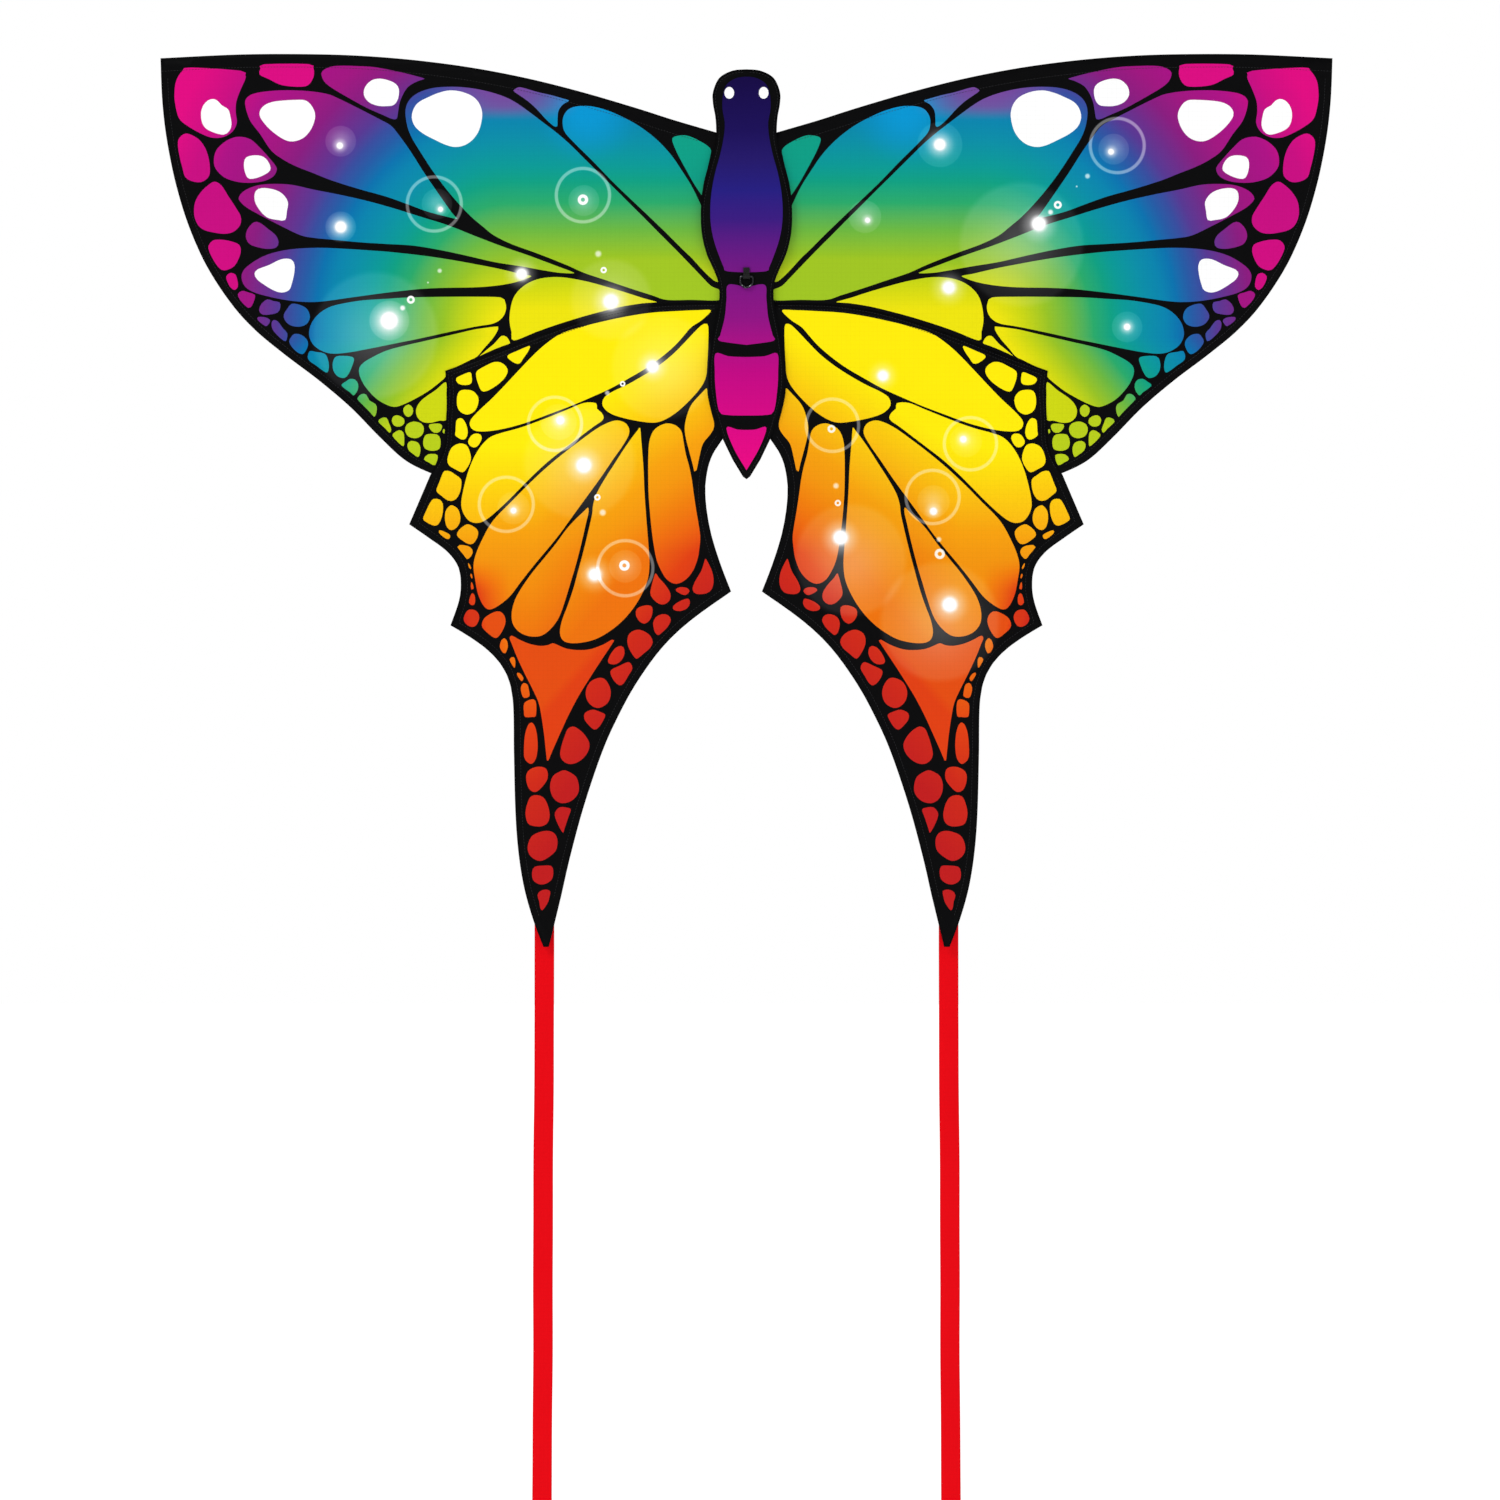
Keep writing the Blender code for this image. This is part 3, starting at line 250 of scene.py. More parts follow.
LOWER_CELLS = {
    "shoulder": [(38, -32), (55, -31.5), (80, -32.5), (105, -34), (130, -37.5), (155, -42.5), (180, -48.5),
                 (205, -56.5), (222, -67.5), (236, -80), (250, -94.5), (265.5, -111), (282, -128),
                 (297, -142), (306, -152), (307, -159), (302, -164.5), (290, -165.7), (270, -163),
                 (245, -156.5), (220, -147.5), (195, -138), (170, -127.5), (150, -118.5), (130, -107.5),
                 (110, -96), (92, -83), (78, -71), (68, -60), (60, -51), (48, -43)],
    "inner_top": [(44, -46.5), (41, -50), (41, -70), (42, -90), (43, -103), (46, -112), (52, -121),
                  (62, -132), (75, -144), (88, -152.5), (100, -156.5), (115, -155.5), (135, -151.5),
                  (150, -146.5), (158, -140), (160, -134), (157, -127), (147, -120.5), (130, -112.5),
                  (110, -101), (93, -89.5), (80, -79), (68, -67), (57, -55.5), (49, -48)],
    "fan_1": [(166, -134), (180, -133.5), (200, -141.5), (225, -151.5), (250, -160.5), (272, -166.5),
              (284, -171), (293, -179), (301, -191), (308, -207), (313, -224), (316.5, -243), (315, -254),
              (309, -263.5), (301, -267), (292, -265.5), (281, -258), (265, -243.5), (250, -228.5),
              (235, -213.5), (218, -198), (200, -184), (182, -170.5), (168, -160), (160, -154.5),
              (157.5, -150), (160, -144.5), (165, -140)],
    "fan_2": [(143, -153), (152, -155), (165, -161.5), (182, -173.5), (200, -187), (220, -203.5),
              (240, -222), (260, -242), (277, -259), (286, -271), (294, -286), (300, -300), (303, -314),
              (301, -330), (298, -345), (292, -358), (285, -363), (275, -359), (262, -348.5),
              (250, -333), (235, -314), (220, -296), (205, -277.5), (190, -257), (175, -236.5),
              (160, -216), (147, -197), (136, -181.5), (129, -168.5), (130, -160), (135, -155)],
    "fan_3": [(175, -249), (180, -253.5), (190, -263), (200, -274), (212, -290), (225, -306), (238, -322),
              (250, -339), (257, -352), (260.5, -366), (259.5, -378), (253, -387), (243, -392),
              (231, -393), (222, -389.5), (213, -381), (206, -370), (200, -353), (194, -333),
              (188, -313), (182, -290), (177, -268), (174, -255)],
    "fan_4": [(117, -161), (121, -165), (128, -174), (137, -187), (147, -202.5), (157, -218), (166, -234),
              (170, -247), (171, -257), (175, -275), (181, -300), (186.5, -320), (192, -340), (198, -358),
              (204, -374), (206.5, -388), (203, -397), (194, -400.3), (180, -399.5), (165, -395.5),
              (150, -387), (137, -376.5), (125, -363), (115, -347), (108, -330), (106, -313),
              (107, -293), (109.5, -262), (111.5, -235), (113, -205), (115.5, -175)],
    "fan_5": [(88, -156.5), (78, -158.5), (71, -165), (68.5, -176), (66, -190), (62, -205), (59, -220),
              (57, -235), (54, -255), (51.5, -270), (50, -283), (51, -295), (53, -307), (58, -320),
              (65, -329), (73, -334), (80, -334.5), (88, -329.5), (94, -320), (99, -308), (102, -293),
              (104.5, -275), (106.5, -255), (108, -235), (108.5, -215), (108.5, -195), (107.5, -178),
              (104, -167), (98, -160.5)],
    "by_body": [(43, -117.5), (50, -124), (60, -135), (65, -146), (68, -160), (67, -172), (63, -188),
                (59, -203), (57, -211), (54, -209), (51, -195), (47, -180), (40, -171), (35.5, -164),
                (34.5, -157), (37, -147), (40, -135), (42, -124)],
    "leg": [(260, -391), (251, -395.5), (240, -400), (228, -402.3), (219, -401.3), (214, -399.3),
            (208, -401.5), (198, -405.5), (185, -407), (172, -406), (158, -401), (148, -395.5),
            (145, -396.5), (150, -405), (160, -420), (172, -438.5), (185, -459.5), (196, -480.5),
            (205, -500), (213, -518), (218.5, -530.5), (220.5, -530), (222, -518), (224, -500),
            (227, -480), (230, -466), (236, -452.5), (245, -435), (254, -416.5), (260, -402), (263, -394)],
    "out_1": [(306, -99), (304, -104), (304, -111), (308, -114), (316, -114), (321, -111), (322, -106),
              (315, -102)],
    "out_2": [(299, -98), (290, -92.5), (280, -88), (272, -88.5), (266, -93), (264, -99), (268, -107),
              (277, -115), (288, -121), (294, -120.5), (298, -112), (300, -104)],
    "out_3": [(240, -70), (241, -76), (247, -85), (251, -90.5), (257, -90), (265, -84), (264, -80),
              (255, -76)],
    "out_4": [(312, -118.5), (303, -120), (297, -127), (297, -135), (301, -143), (309, -147), (317, -144),
              (321, -137), (321, -126), (318, -120)],
    "out_5": [(318, -150), (322, -153), (323, -165), (323, -170), (316, -174.5), (311, -173.5),
              (308.5, -167), (310, -158), (314, -151)],
    "out_6": [(300, -167), (295, -168), (293, -173), (297, -181), (302, -183.5), (307, -181), (309, -176),
              (305, -169)],
    "out_7": [(318, -178), (310, -180), (306, -188), (305, -197), (310, -207), (315, -211), (322, -208),
              (330, -203), (332, -196), (329, -186), (325, -181)],
    "out_8": [(335, -208.5), (328, -209), (322, -213), (316, -218), (316, -228), (319, -237), (324, -242),
              (331, -242), (338, -237), (344, -231), (341, -222), (338, -214)],
    "out_9": [(347, -239.5), (340, -240), (336, -245), (336, -255), (339, -265), (343, -269.5),
              (348, -269.5), (355, -266), (359, -262), (356, -254), (351, -244)],
    "out_10": [(326, -246.5), (320, -250), (317, -257), (317, -265), (321, -272), (327, -275), (332, -272),
               (334.5, -264), (334, -254), (330, -248)],
    "out_11": [(340, -274), (332, -277), (328, -280), (329, -284), (333, -284.5), (341, -278)],
    "out_12": [(308, -267.5), (301, -271), (297, -276), (298, -283), (303, -290), (309, -290), (317, -285),
               (321.5, -280), (319, -274), (313, -269)],
    "out_13": [(318, -290.5), (309, -291.5), (304, -295), (303, -300), (306, -305), (310, -307),
               (314, -302), (321, -293)],
    "out_14": [(308, -310), (306, -313), (304.5, -317), (306, -318.5), (308, -316), (309, -312)],
    "out_15": [(306, -322), (304, -323), (303, -328), (305, -328.5), (306.5, -325)],
    "out_16": [(305, -331), (302.5, -335), (302, -340), (305, -341), (306, -337)],
    "out_17": [(304.5, -344), (301, -346), (300, -353), (301.5, -357.5), (305.5, -358), (308, -355),
               (307, -349)],
    "out_18": [(307, -362), (300, -363), (296, -368), (296, -374), (300, -381), (306, -382), (312, -378),
               (314, -372), (311, -365)],
    "out_19": [(277, -364), (270, -366), (266.5, -373), (268, -382), (274, -392), (279, -394.5),
               (286, -390), (293, -383), (293.5, -377), (289, -370)],
    "out_20": [(269, -393.5), (265, -397), (264, -404), (267, -411.5), (270, -411), (274, -404),
               (272, -396)],
    "in_1": [(45, -306), (42, -310), (37, -321), (35.5, -332), (38, -341), (44, -345.5), (55, -346),
             (59.5, -341), (57, -332), (50, -320), (47, -311)],
    "in_2": [(70, -337.5), (64, -339), (62, -343), (66, -347), (71, -346.5), (78, -342), (76, -338.5)],
    "in_3": [(63, -350.5), (61.5, -356), (65, -362), (73, -365), (80, -363.5), (81, -359), (75, -354),
             (68, -351)],
    "in_4": [(100, -322), (96, -327), (88, -336), (83, -345), (84, -353), (90, -357.5), (97, -356.5),
             (104, -350), (106, -344), (104, -334)],
    "in_5": [(108, -357.5), (103, -360), (103, -368), (106, -375), (112, -379), (118, -376), (122, -369),
             (121, -362), (115, -358.5)],
    "in_6": [(93, -367.5), (86, -368.5), (82.5, -374), (86, -382), (93, -389), (97, -391.5), (101, -388),
             (103, -378), (100, -371)],
    "in_7": [(120, -384.5), (111, -387), (105, -392), (102.5, -399), (106, -406), (113, -412),
             (119, -417), (123, -416.5), (129, -407), (131.5, -398), (129, -389)],
    "in_8": [(138, -402.5), (135, -404), (133.5, -411), (137, -419), (143, -423.5), (150, -423.5),
             (153, -420), (150, -412), (144, -404.5)],
    "in_9": [(131, -420.5), (127, -422), (125, -428), (130, -437), (135, -445), (140, -447), (146, -442),
             (150, -434), (149, -429), (140, -424.5)],
    "in_10": [(164, -438), (156, -439), (150, -448), (149, -458), (153, -467), (162, -472), (170, -470),
              (176, -463), (177.5, -453), (173, -443)],
    "in_11": [(170, -473), (162, -475), (155, -479), (158, -487), (163, -494), (168, -496), (174, -491),
              (179, -484), (178.5, -477)],
    "in_12": [(191, -491.5), (184, -495), (177, -502), (172.5, -511), (174, -520), (180, -528),
              (188, -533), (196, -534), (203, -530), (206, -523), (204, -512), (200, -500), (197, -494)],
    "in_13": [(200, -540), (190, -545), (186, -550), (184, -560), (186, -568), (193, -575), (203, -577.5),
              (211, -574), (216, -566), (217, -556), (214, -547), (208, -542.5)],
    "in_14": [(206, -581), (197, -581.5), (193, -584), (196, -593), (200, -605), (202, -610.5),
              (206, -605), (211, -594), (211.5, -587)],
    "leg_1": [(258, -414.5), (255.5, -419), (256, -427.5), (258, -427), (263, -417.5)],
    "leg_2": [(254, -432), (250, -433), (246, -438.5), (248.5, -442.5), (252, -439), (254.5, -434.5)],
    "leg_3": [(247, -443.5), (242, -445), (240, -451), (239.5, -459), (246, -461), (249, -456),
              (250, -449)],
    "leg_4": [(238, -461.5), (233, -463), (231.5, -471), (232.5, -481), (237, -482), (245, -482),
              (246.5, -476), (246, -466)],
    "leg_5": [(238, -487), (234, -490), (231, -500), (230, -515), (232, -528), (237, -534), (242, -532),
              (246, -526), (246, -510), (244.5, -498), (241, -489)],
    "leg_6": [(230, -536), (222, -537.5), (219, -542), (219, -550), (224, -558), (232, -565),
              (239, -563), (243, -555), (243.5, -545), (239, -539)],
    "leg_7": [(231, -567.5), (224, -570), (219, -578), (216.5, -590), (219, -599), (226, -603),
              (236, -602.5), (242, -599), (244.5, -588), (242, -576), (238, -569)],
    "leg_8": [(220, -607), (212, -609.5), (208, -617), (209, -628), (215, -635), (225, -641),
              (233, -640), (240, -634), (242, -625), (238, -614), (230, -609)],
    "leg_9": [(224, -645.5), (215, -646), (212.5, -652), (214, -661), (221, -666.5), (229, -667),
              (236, -662), (237, -653), (234, -647)],
    "leg_10": [(222, -672), (216, -674), (217, -682), (219, -688), (225, -696), (228, -693), (229, -686),
               (231, -679), (228, -674)],
}
BODY_CELLS = {
    "head": [(0, 226), (12, 224), (22, 217), (26, 205), (26.5, 190), (24, 175), (25, 160), (29, 140),
             (35, 118), (39, 95), (40, 75), (39, 60), (36, 45), (31, 30), (25, 15), (22, 11), (0, 9.5)],
    "waist": [(0, -7), (20, -4), (22, -20), (24, -40), (29, -60), (30, -66), (0, -70.5)],
    "belly": [(0, -84), (20, -83), (34, -80), (35, -100), (34, -120), (30, -144), (20, -148), (0, -148.5)],
    "point": [(0, -164.5), (10, -164), (22, -162), (14, -185), (0, -209)],
}

# ---- The print's colours, 0 to 255 ---------------------------------------------------------------
UPPER_RAMP = [(25, (236, 226, 8)), (50, (200, 212, 15)), (76, (150, 193, 35)), (100, (106, 182, 64)),
              (125, (40, 168, 105)), (145, (8, 158, 128)), (160, (2, 152, 148)), (185, (2, 140, 165)),
              (205, (1, 130, 172)), (220, (3, 112, 172)), (235, (35, 90, 163)), (248, (55, 75, 156)),
              (262, (85, 55, 145)), (280, (108, 42, 136)), (300, (135, 25, 126)), (326, (158, 17, 126)),
              (345, (164, 13, 130)), (362, (171, 11, 131)), (390, (199, 5, 127)), (425, (222, 3, 128))]
LOWER_RAMP = [(30, (254, 234, 3)), (54, (252, 222, 6)), (84, (250, 202, 8)), (114, (247, 183, 10)),
              (144, (244, 160, 7)), (174, (241, 148, 8)), (204, (238, 126, 5)), (234, (234, 102, 9)),
              (264, (223, 64, 14)), (300, (205, 40, 22)), (350, (190, 27, 28))]
BODY_RAMP = [(-200, (230, 0, 130)), (-100, (190, 0, 130)), (-40, (140, 15, 130)), (20, (110, 20, 130)),
             (68, (57, 24, 126)), (100, (35, 27, 126)), (134, (34, 21, 104)), (165, (25, 10, 87)),
             (234, (16, 1, 62))]
BLACK_INK = (2, 2, 3)
WHITE_INK = (252, 252, 252)
RIBBON_RED = (228, 0, 14)

# ---- The print's glints: (kind, outward, up, size). They aren't the same on the two wings ---------
LEFT_GLINTS = [
    ("star", 451, 152, 5), ("disc", 450, 157, 17), ("star", 450, 62, 9), ("disc", 450, 62, 17),
    ("ring", 346, 87, 32), ("disc", 343, 87, 17), ("star", 339, 81, 4), ("ring", 181, 96, 31.5),
    ("disc", 180, 90, 17), ("bead", 181, 91, 6.5), ("star", 249, 9, 11), ("dot", 340, 13, 3.5),
    ("dot", 353, 0, 1.5), ("star", 396, -42, 12), ("disc", 396, -42, 22), ("haze", 412, -58, 70),
    ("bead", 372, -19, 5), ("dot", 381, -28, 4), ("dot", 164, 31, 5), ("bead", 158, 13, 4),
    ("star", 150, -22, 12), ("haze", 150, -20, 45), ("star", 104, -94, 10), ("haze", 92, -95, 58),
    ("bead", 137, -113, 3.5), ("dot", 154, -123, 4), ("ring", 212, -157, 31.5), ("disc", 208, -155, 20),
    ("star", 206, -153, 6), ("star", 180, -203, 12), ("haze", 185, -200, 62), ("ring", 266, -246, 32),
    ("disc", 258, -250, 18), ("star", 258, -253, 4.5), ("bead", 165, -238.5, 4), ("dot", 159, -255.5, 5),
    ("star", 168, -324, 12), ("ring", 134, -317, 32.5), ("disc", 134, -315, 18), ("bead", 135, -314, 6.5)]
RIGHT_GLINTS = [
    ("star", 214, 152, 9), ("disc", 214, 152, 25), ("ring", 411, 152, 32), ("disc", 407, 148, 17),
    ("star", 404, 145, 4.5), ("disc", 131, 72, 18), ("star", 134, 68, 4), ("star", 324, 65, 12),
    ("haze", 305, 42, 69), ("bead", 345, 86, 5), ("dot", 337, 78, 4), ("dot", 366, 106.5, 1.5),
    ("dot", 378, 118, 4), ("star", 224, -6, 12), ("disc", 422, -49, 17), ("star", 422, -49, 5),
    ("star", 151, -104, 10), ("ring", 95, -159, 31), ("bead", 94, -163, 5), ("ring", 248, -179, 31),
    ("disc", 243, -176, 18), ("star", 240, -174, 5), ("ring", 206, -238, 31.5), ("disc", 207, -243, 18),
    ("star", 207, -254, 6), ("dot", 99, -226, 4.5), ("bead", 101, -245, 4), ("star", 104, -283, 12),
    ("haze", 115, -308, 62), ("bead", 214, -301, 6.5), ("dot", 213, -285, 4), ("star", 225, -357, 12),
    ("haze", 214, -376, 66)]


# ---- Geometry helpers ----------------------------------------------------------------------------
def smooth(points, step, closed=False):
    """A smooth curve through the points, with a new point at least every step."""
    if closed:
        around = [points[-1], *points, points[0], points[1]]
        found = []
    else:
        around = [points[0], *points, points[-1]]
        found = [points[0]]
    for a, b, c, d in zip(around, around[1:], around[2:], around[3:]):
        count = max(1, math.ceil(math.dist(b, c) / step))
        for i in range(1, count + 1):
            t = i / count
            found.append(tuple(
                0.5 * (2 * q + (r - p) * t + (2 * p - 5 * q + 4 * r - s) * t**2
                       + (3 * q - p - 3 * r + s) * t**3)
                for p, q, r, s in zip(a, b, c, d)))
    return found


def chain(*runs):
    """Runs of points that meet end to end, as one list without the doubled ends."""
    found = []
    for run in runs:
        found += run if not found or math.dist(found[-1], run[0]) > 1e-6 else run[1:]
    return found


def even(points, step):
    """The same line with its points spaced evenly."""
    lengths = [0.0]
    for a, b in zip(points, points[1:]):
        lengths.append(lengths[-1] + math.dist(a, b))
    count = max(2, round(lengths[-1] / step) + 1)
    found, k = [], 0
    for i in range(count):
        at = lengths[-1] * i / (count - 1)
        while k < len(points) - 2 and lengths[k + 1] < at:
            k += 1
        t = (at - lengths[k]) / max(lengths[k + 1] - lengths[k], 1e-9)
        found.append(tuple(p + (q - p) * t for p, q in zip(points[k], points[k + 1])))
    return found


def inset(points, by):
    """The points moved to the right of their direction of travel, with mitred corners."""
    found = []
    for i, here in enumerate(points):
        before = Vector(here) - Vector(points[max(i - 1, 0)])
        after = Vector(points[min(i + 1, len(points) - 1)]) - Vector(here)
        normals = [Vector((d.y, -d.x)).normalized() for d in (before, after) if d.length > 1e-9]
        middle = sum(normals, Vector((0, 0))).normalized()
        reach = by / max(middle.dot(normals[0]), 0.5)
        found.append((here[0] + middle.x * reach, here[1] + middle.y * reach))
    return found


def arc(centre, radius, start, end, count):
    """Points of a circle's arc, angles in degrees."""
    found = []
    for i in range(count + 1):
        a = math.radians(start + (end - start) * i / count)
        found.append((centre[0] + radius * math.cos(a), centre[1] + radius * math.sin(a)))
    return found


def ease(t):
    t = min(max(t, 0.0), 1.0)
    return t * t * (3 - 2 * t)


def outward(x):
    """A distance from the centre line in the front view, measured along the tilted wing."""
    return (x - FOLD_X) / math.cos(DIHEDRAL)


def on_wing(side, x, back, z):
    """A front-view point, and how far it lies behind the spar plane, as a place in millimetres."""
    reach = outward(x)
    return Vector((side * (FOLD_X + reach * math.cos(DIHEDRAL) - back * math.sin(DIHEDRAL)),
                   AXIS_Y + reach * math.sin(DIHEDRAL) + back * math.cos(DIHEDRAL), z))


# ---- The two spars of a wing, and how far the cloth bellies between them --------------------------
UNDER_EDGE = [(16, 150.5), (40, 156.5), *[(x, z - SPAR_BELOW_EDGE) for x, z in LEADING_EDGE[1:-1]],
              (636, 242.6)]
SUPPORTS = [even(smooth(UNDER_EDGE, 20), 8), even(smooth(LOWER_SPAR_BEND, 20), 8),
            even([(12, 160), (12, -180)], 8)]
near_spar = kdtree.KDTree(sum(len(s) for s in SUPPORTS))
for index, spot in enumerate(p for s in SUPPORTS for p in s):
    near_spar.insert((*spot, 0), index)
near_spar.balance()
BELLY = 6.5


def belly(x, z):
    """How far the wind presses the cloth back here, between what holds it."""
    away = near_spar.find((x, z, 0))[2]
    deep = ease((away - 8) / 130)
    ripple = 0.35 * noise.noise((x / 70, z / 95, 0.3)) + 0.22 * noise.noise((x / 26, z / 34, 7.1))
    return BELLY * deep * (1 + 0.9 * ripple) + 0.9 * ease((away - 12) / 40) * ripple


def on_sail(side, x, back, z):
    """A point of the cloth, which lies back by its belly there."""
    return on_wing(side, x, back + belly(x, z), z)


# ---- Mesh makers --------------------------------------------------------------------------------
def piece(name, vertices, faces, material, smooth_faces=True):
    """An object from points in millimetres."""
    mesh = bpy.data.meshes.new(name)
    mesh.from_pydata([Vector(v) * MM for v in vertices], [], faces)
    mesh.materials.append(material)
    if smooth_faces:
        mesh.polygons.foreach_set("use_smooth", [True] * len(faces))
    obj = bpy.data.objects.new(name, mesh)
    bpy.context.scene.collection.objects.link(obj)
    return obj


def thicken(obj, thickness):
    solid = obj.modifiers.new("thickness", "SOLIDIFY")
    solid.thickness = thickness * MM
    solid.offset = 0
    solid.use_even_offset = False
    return obj


def tidy_normals(obj):
    """All faces turned outward."""
    work = bmesh.new()
    work.from_mesh(obj.data)
    bmesh.ops.recalc_face_normals(work, faces=work.faces)
    work.to_mesh(obj.data)
    work.free()
    return obj


def turned_left(loop):
    """The loop running anticlockwise, as the cutting needs it."""
    signed = sum(a[0] * b[1] - b[0] * a[1] for a, b in zip(loop, loop[1:] + loop[:1]))
    return loop if signed > 0 else loop[::-1]


INK_SPREAD = 0.5        # the black ink runs this far into every coloured cell, in millimetres


def cut_cloth(outline, cells, spots, grid, step):
    """A flat panel as triangles that follow the outline and every printed edge.
    Returns its points, its triangles, and for each triangle 0 black, 1 colour or 2 white, and its cell."""
    loops, kinds = [outline], [("black", None)]
    for name, points in cells.items():
        cell = turned_left(smooth(points, step, closed=True))
        loops.append(inset(cell[-1:] + cell + cell[:1], -INK_SPREAD)[1:-1])
        kinds.append(("colour", name))
    for points in spots:
        loops.append(smooth(points, step, closed=True))
        kinds.append(("white", None))
    points, edges, faces = [], [], []
    for loop in map(turned_left, loops):
        first = len(points)
        count = len(loop)
        points += [Vector(p) for p in loop]
        edges += [(first + i, first + (i + 1) % count) for i in range(count)]
        faces.append(list(range(first, first + count)))
    taken = kdtree.KDTree(len(points))
    for i, p in enumerate(points):
        taken.insert((p.x, p.y, 0), i)
    taken.balance()
    low_x, high_x = min(p.x for p in points), max(p.x for p in points)
    low_z, high_z = min(p.y for p in points), max(p.y for p in points)
    row, z = 0, low_z
    while z < high_z:
        x = low_x + (grid / 2 if row % 2 else 0)
        while x < high_x:
            if taken.find((x, z, 0))[2] > grid * 0.35:
                points.append(Vector((x, z)))
            x += grid
        z += grid * 0.87
        row += 1
    made = geometry.delaunay_2d_cdt(points, edges, faces, 1, 1e-4, True)
    places, triangles, sources = made[0], made[2], made[5]
    kept, inks, names = [], [], []
    for triangle, source in zip(triangles, sources):
        if 0 not in source:
            continue
        found = [kinds[i] for i in source]
        white = any(k == "white" for k, _ in found)
        cell = next((n for k, n in found if k == "colour"), None)
        kept.append(tuple(triangle))
        inks.append(2.0 if white else 1.0 if cell else 0.0)
        names.append(cell)
    used = sorted({i for t in kept for i in t})
    renumber = {old: new for new, old in enumerate(used)}
    kept = [tuple(renumber[i] for i in t) for t in kept]
    return [tuple(places[i]) for i in used], kept, inks, names


def tag(obj, name, values):
    """One number for each face, which the print's material reads."""
    layer = obj.data.attributes.new(name, "FLOAT", "FACE")
    layer.data.foreach_set("value", values)


def tube(name, path, radii, material, sides=14, closed_ends=True, squeeze=1.0):
    """A tube along points in millimetres, with a radius for each; squeeze flattens it front to back."""
    vertices, faces = [], []
    up = Vector((0, 1, 0))
    for i, at in enumerate(path):
        ahead = Vector(path[min(i + 1, len(path) - 1)]) - Vector(path[max(i - 1, 0)])
        ahead.normalize()
        across = ahead.cross(up).normalized()
        back = across.cross(ahead).normalized()
        for k in range(sides):
            a = 2 * math.pi * k / sides
            vertices.append(Vector(at) + across * radii[i] * math.cos(a)
                            + back * radii[i] * squeeze * math.sin(a))
    for i in range(len(path) - 1):
        for k in range(sides):
            n = (k + 1) % sides
            faces.append((i * sides + k, i * sides + n, (i + 1) * sides + n, (i + 1) * sides + k))
    if closed_ends:
        faces.append(tuple(reversed(range(sides))))
        faces.append(tuple((len(path) - 1) * sides + k for k in range(sides)))
    return tidy_normals(piece(name, vertices, faces, material))


def ribbon_between(name, rails, half, material):
    """A closed strip. rails lists (one edge, other edge, normal) along it; half is half its thickness."""
    vertices, faces = [], []
    lanes = (0.0, 0.04, 0.3, 0.5, 0.7, 0.96, 1.0)
    for one, other, normal in rails:
        for t in lanes:
            lift = half if 0 < t < 1 else 0.0
            vertices.append(one + (other - one) * t + normal * lift)
        for t in reversed(lanes[1:-1]):
            vertices.append(one + (other - one) * t - normal * half)
    around = 2 * len(lanes) - 2
    for i in range(len(rails) - 1):
        for k in range(around):
            n = (k + 1) % around
            faces.append((i * around + k, i * around + n, (i + 1) * around + n, (i + 1) * around + k))
    faces.append(tuple(reversed(range(around))))
    faces.append(tuple((len(rails) - 1) * around + k for k in range(around)))
    return tidy_normals(piece(name, vertices, faces, material))


def stitches(name, lines, material, pitch=3.4, length=2.5, radius=0.24):
    """Rows of thread. Each line is a list of (place, normal) in millimetres along a seam."""
    vertices, faces = [], []
    for line in lines:
        run = even([tuple(p) + tuple(n) for p, n in line], pitch / 2)
        for i in range(0, len(run) - 2, 2):
            start, end = Vector(run[i][:3]), Vector(run[i + 1][:3])
            normal = Vector(run[i][3:]).normalized()
            along = (end - start).normalized()
            middle = start + along * pitch / 2
            across = along.cross(normal).normalized()
            first = len(vertices)
            vertices.append(middle - along * length / 2)
            for t in (-0.32, 0.32):
                for c, s in ((1, 0), (0, 1), (-1, 0), (0, -0.4)):
                    vertices.append(middle + along * length * t + across * radius * c
                                    + normal * radius * s)
            vertices.append(middle + along * length / 2)
            for k in range(4):
                n = (k + 1) % 4
                faces.append((first, first + 1 + n, first + 1 + k))
                faces.append((first + 1 + k, first + 1 + n, first + 5 + n, first + 5 + k))
                faces.append((first + 9, first + 5 + k, first + 5 + n))
    return piece(name, vertices, faces, material)


# ---- Materials ------------------------------------------------------------------------------------
def linear(colour):
    """A colour from 0 to 255, as light."""
    found = []
    for c in colour:
        c = c / 255
        found.append(c / 12.92 if c <= 0.04045 else ((c + 0.055) / 1.055) ** 2.4)
    return (*found, 1)


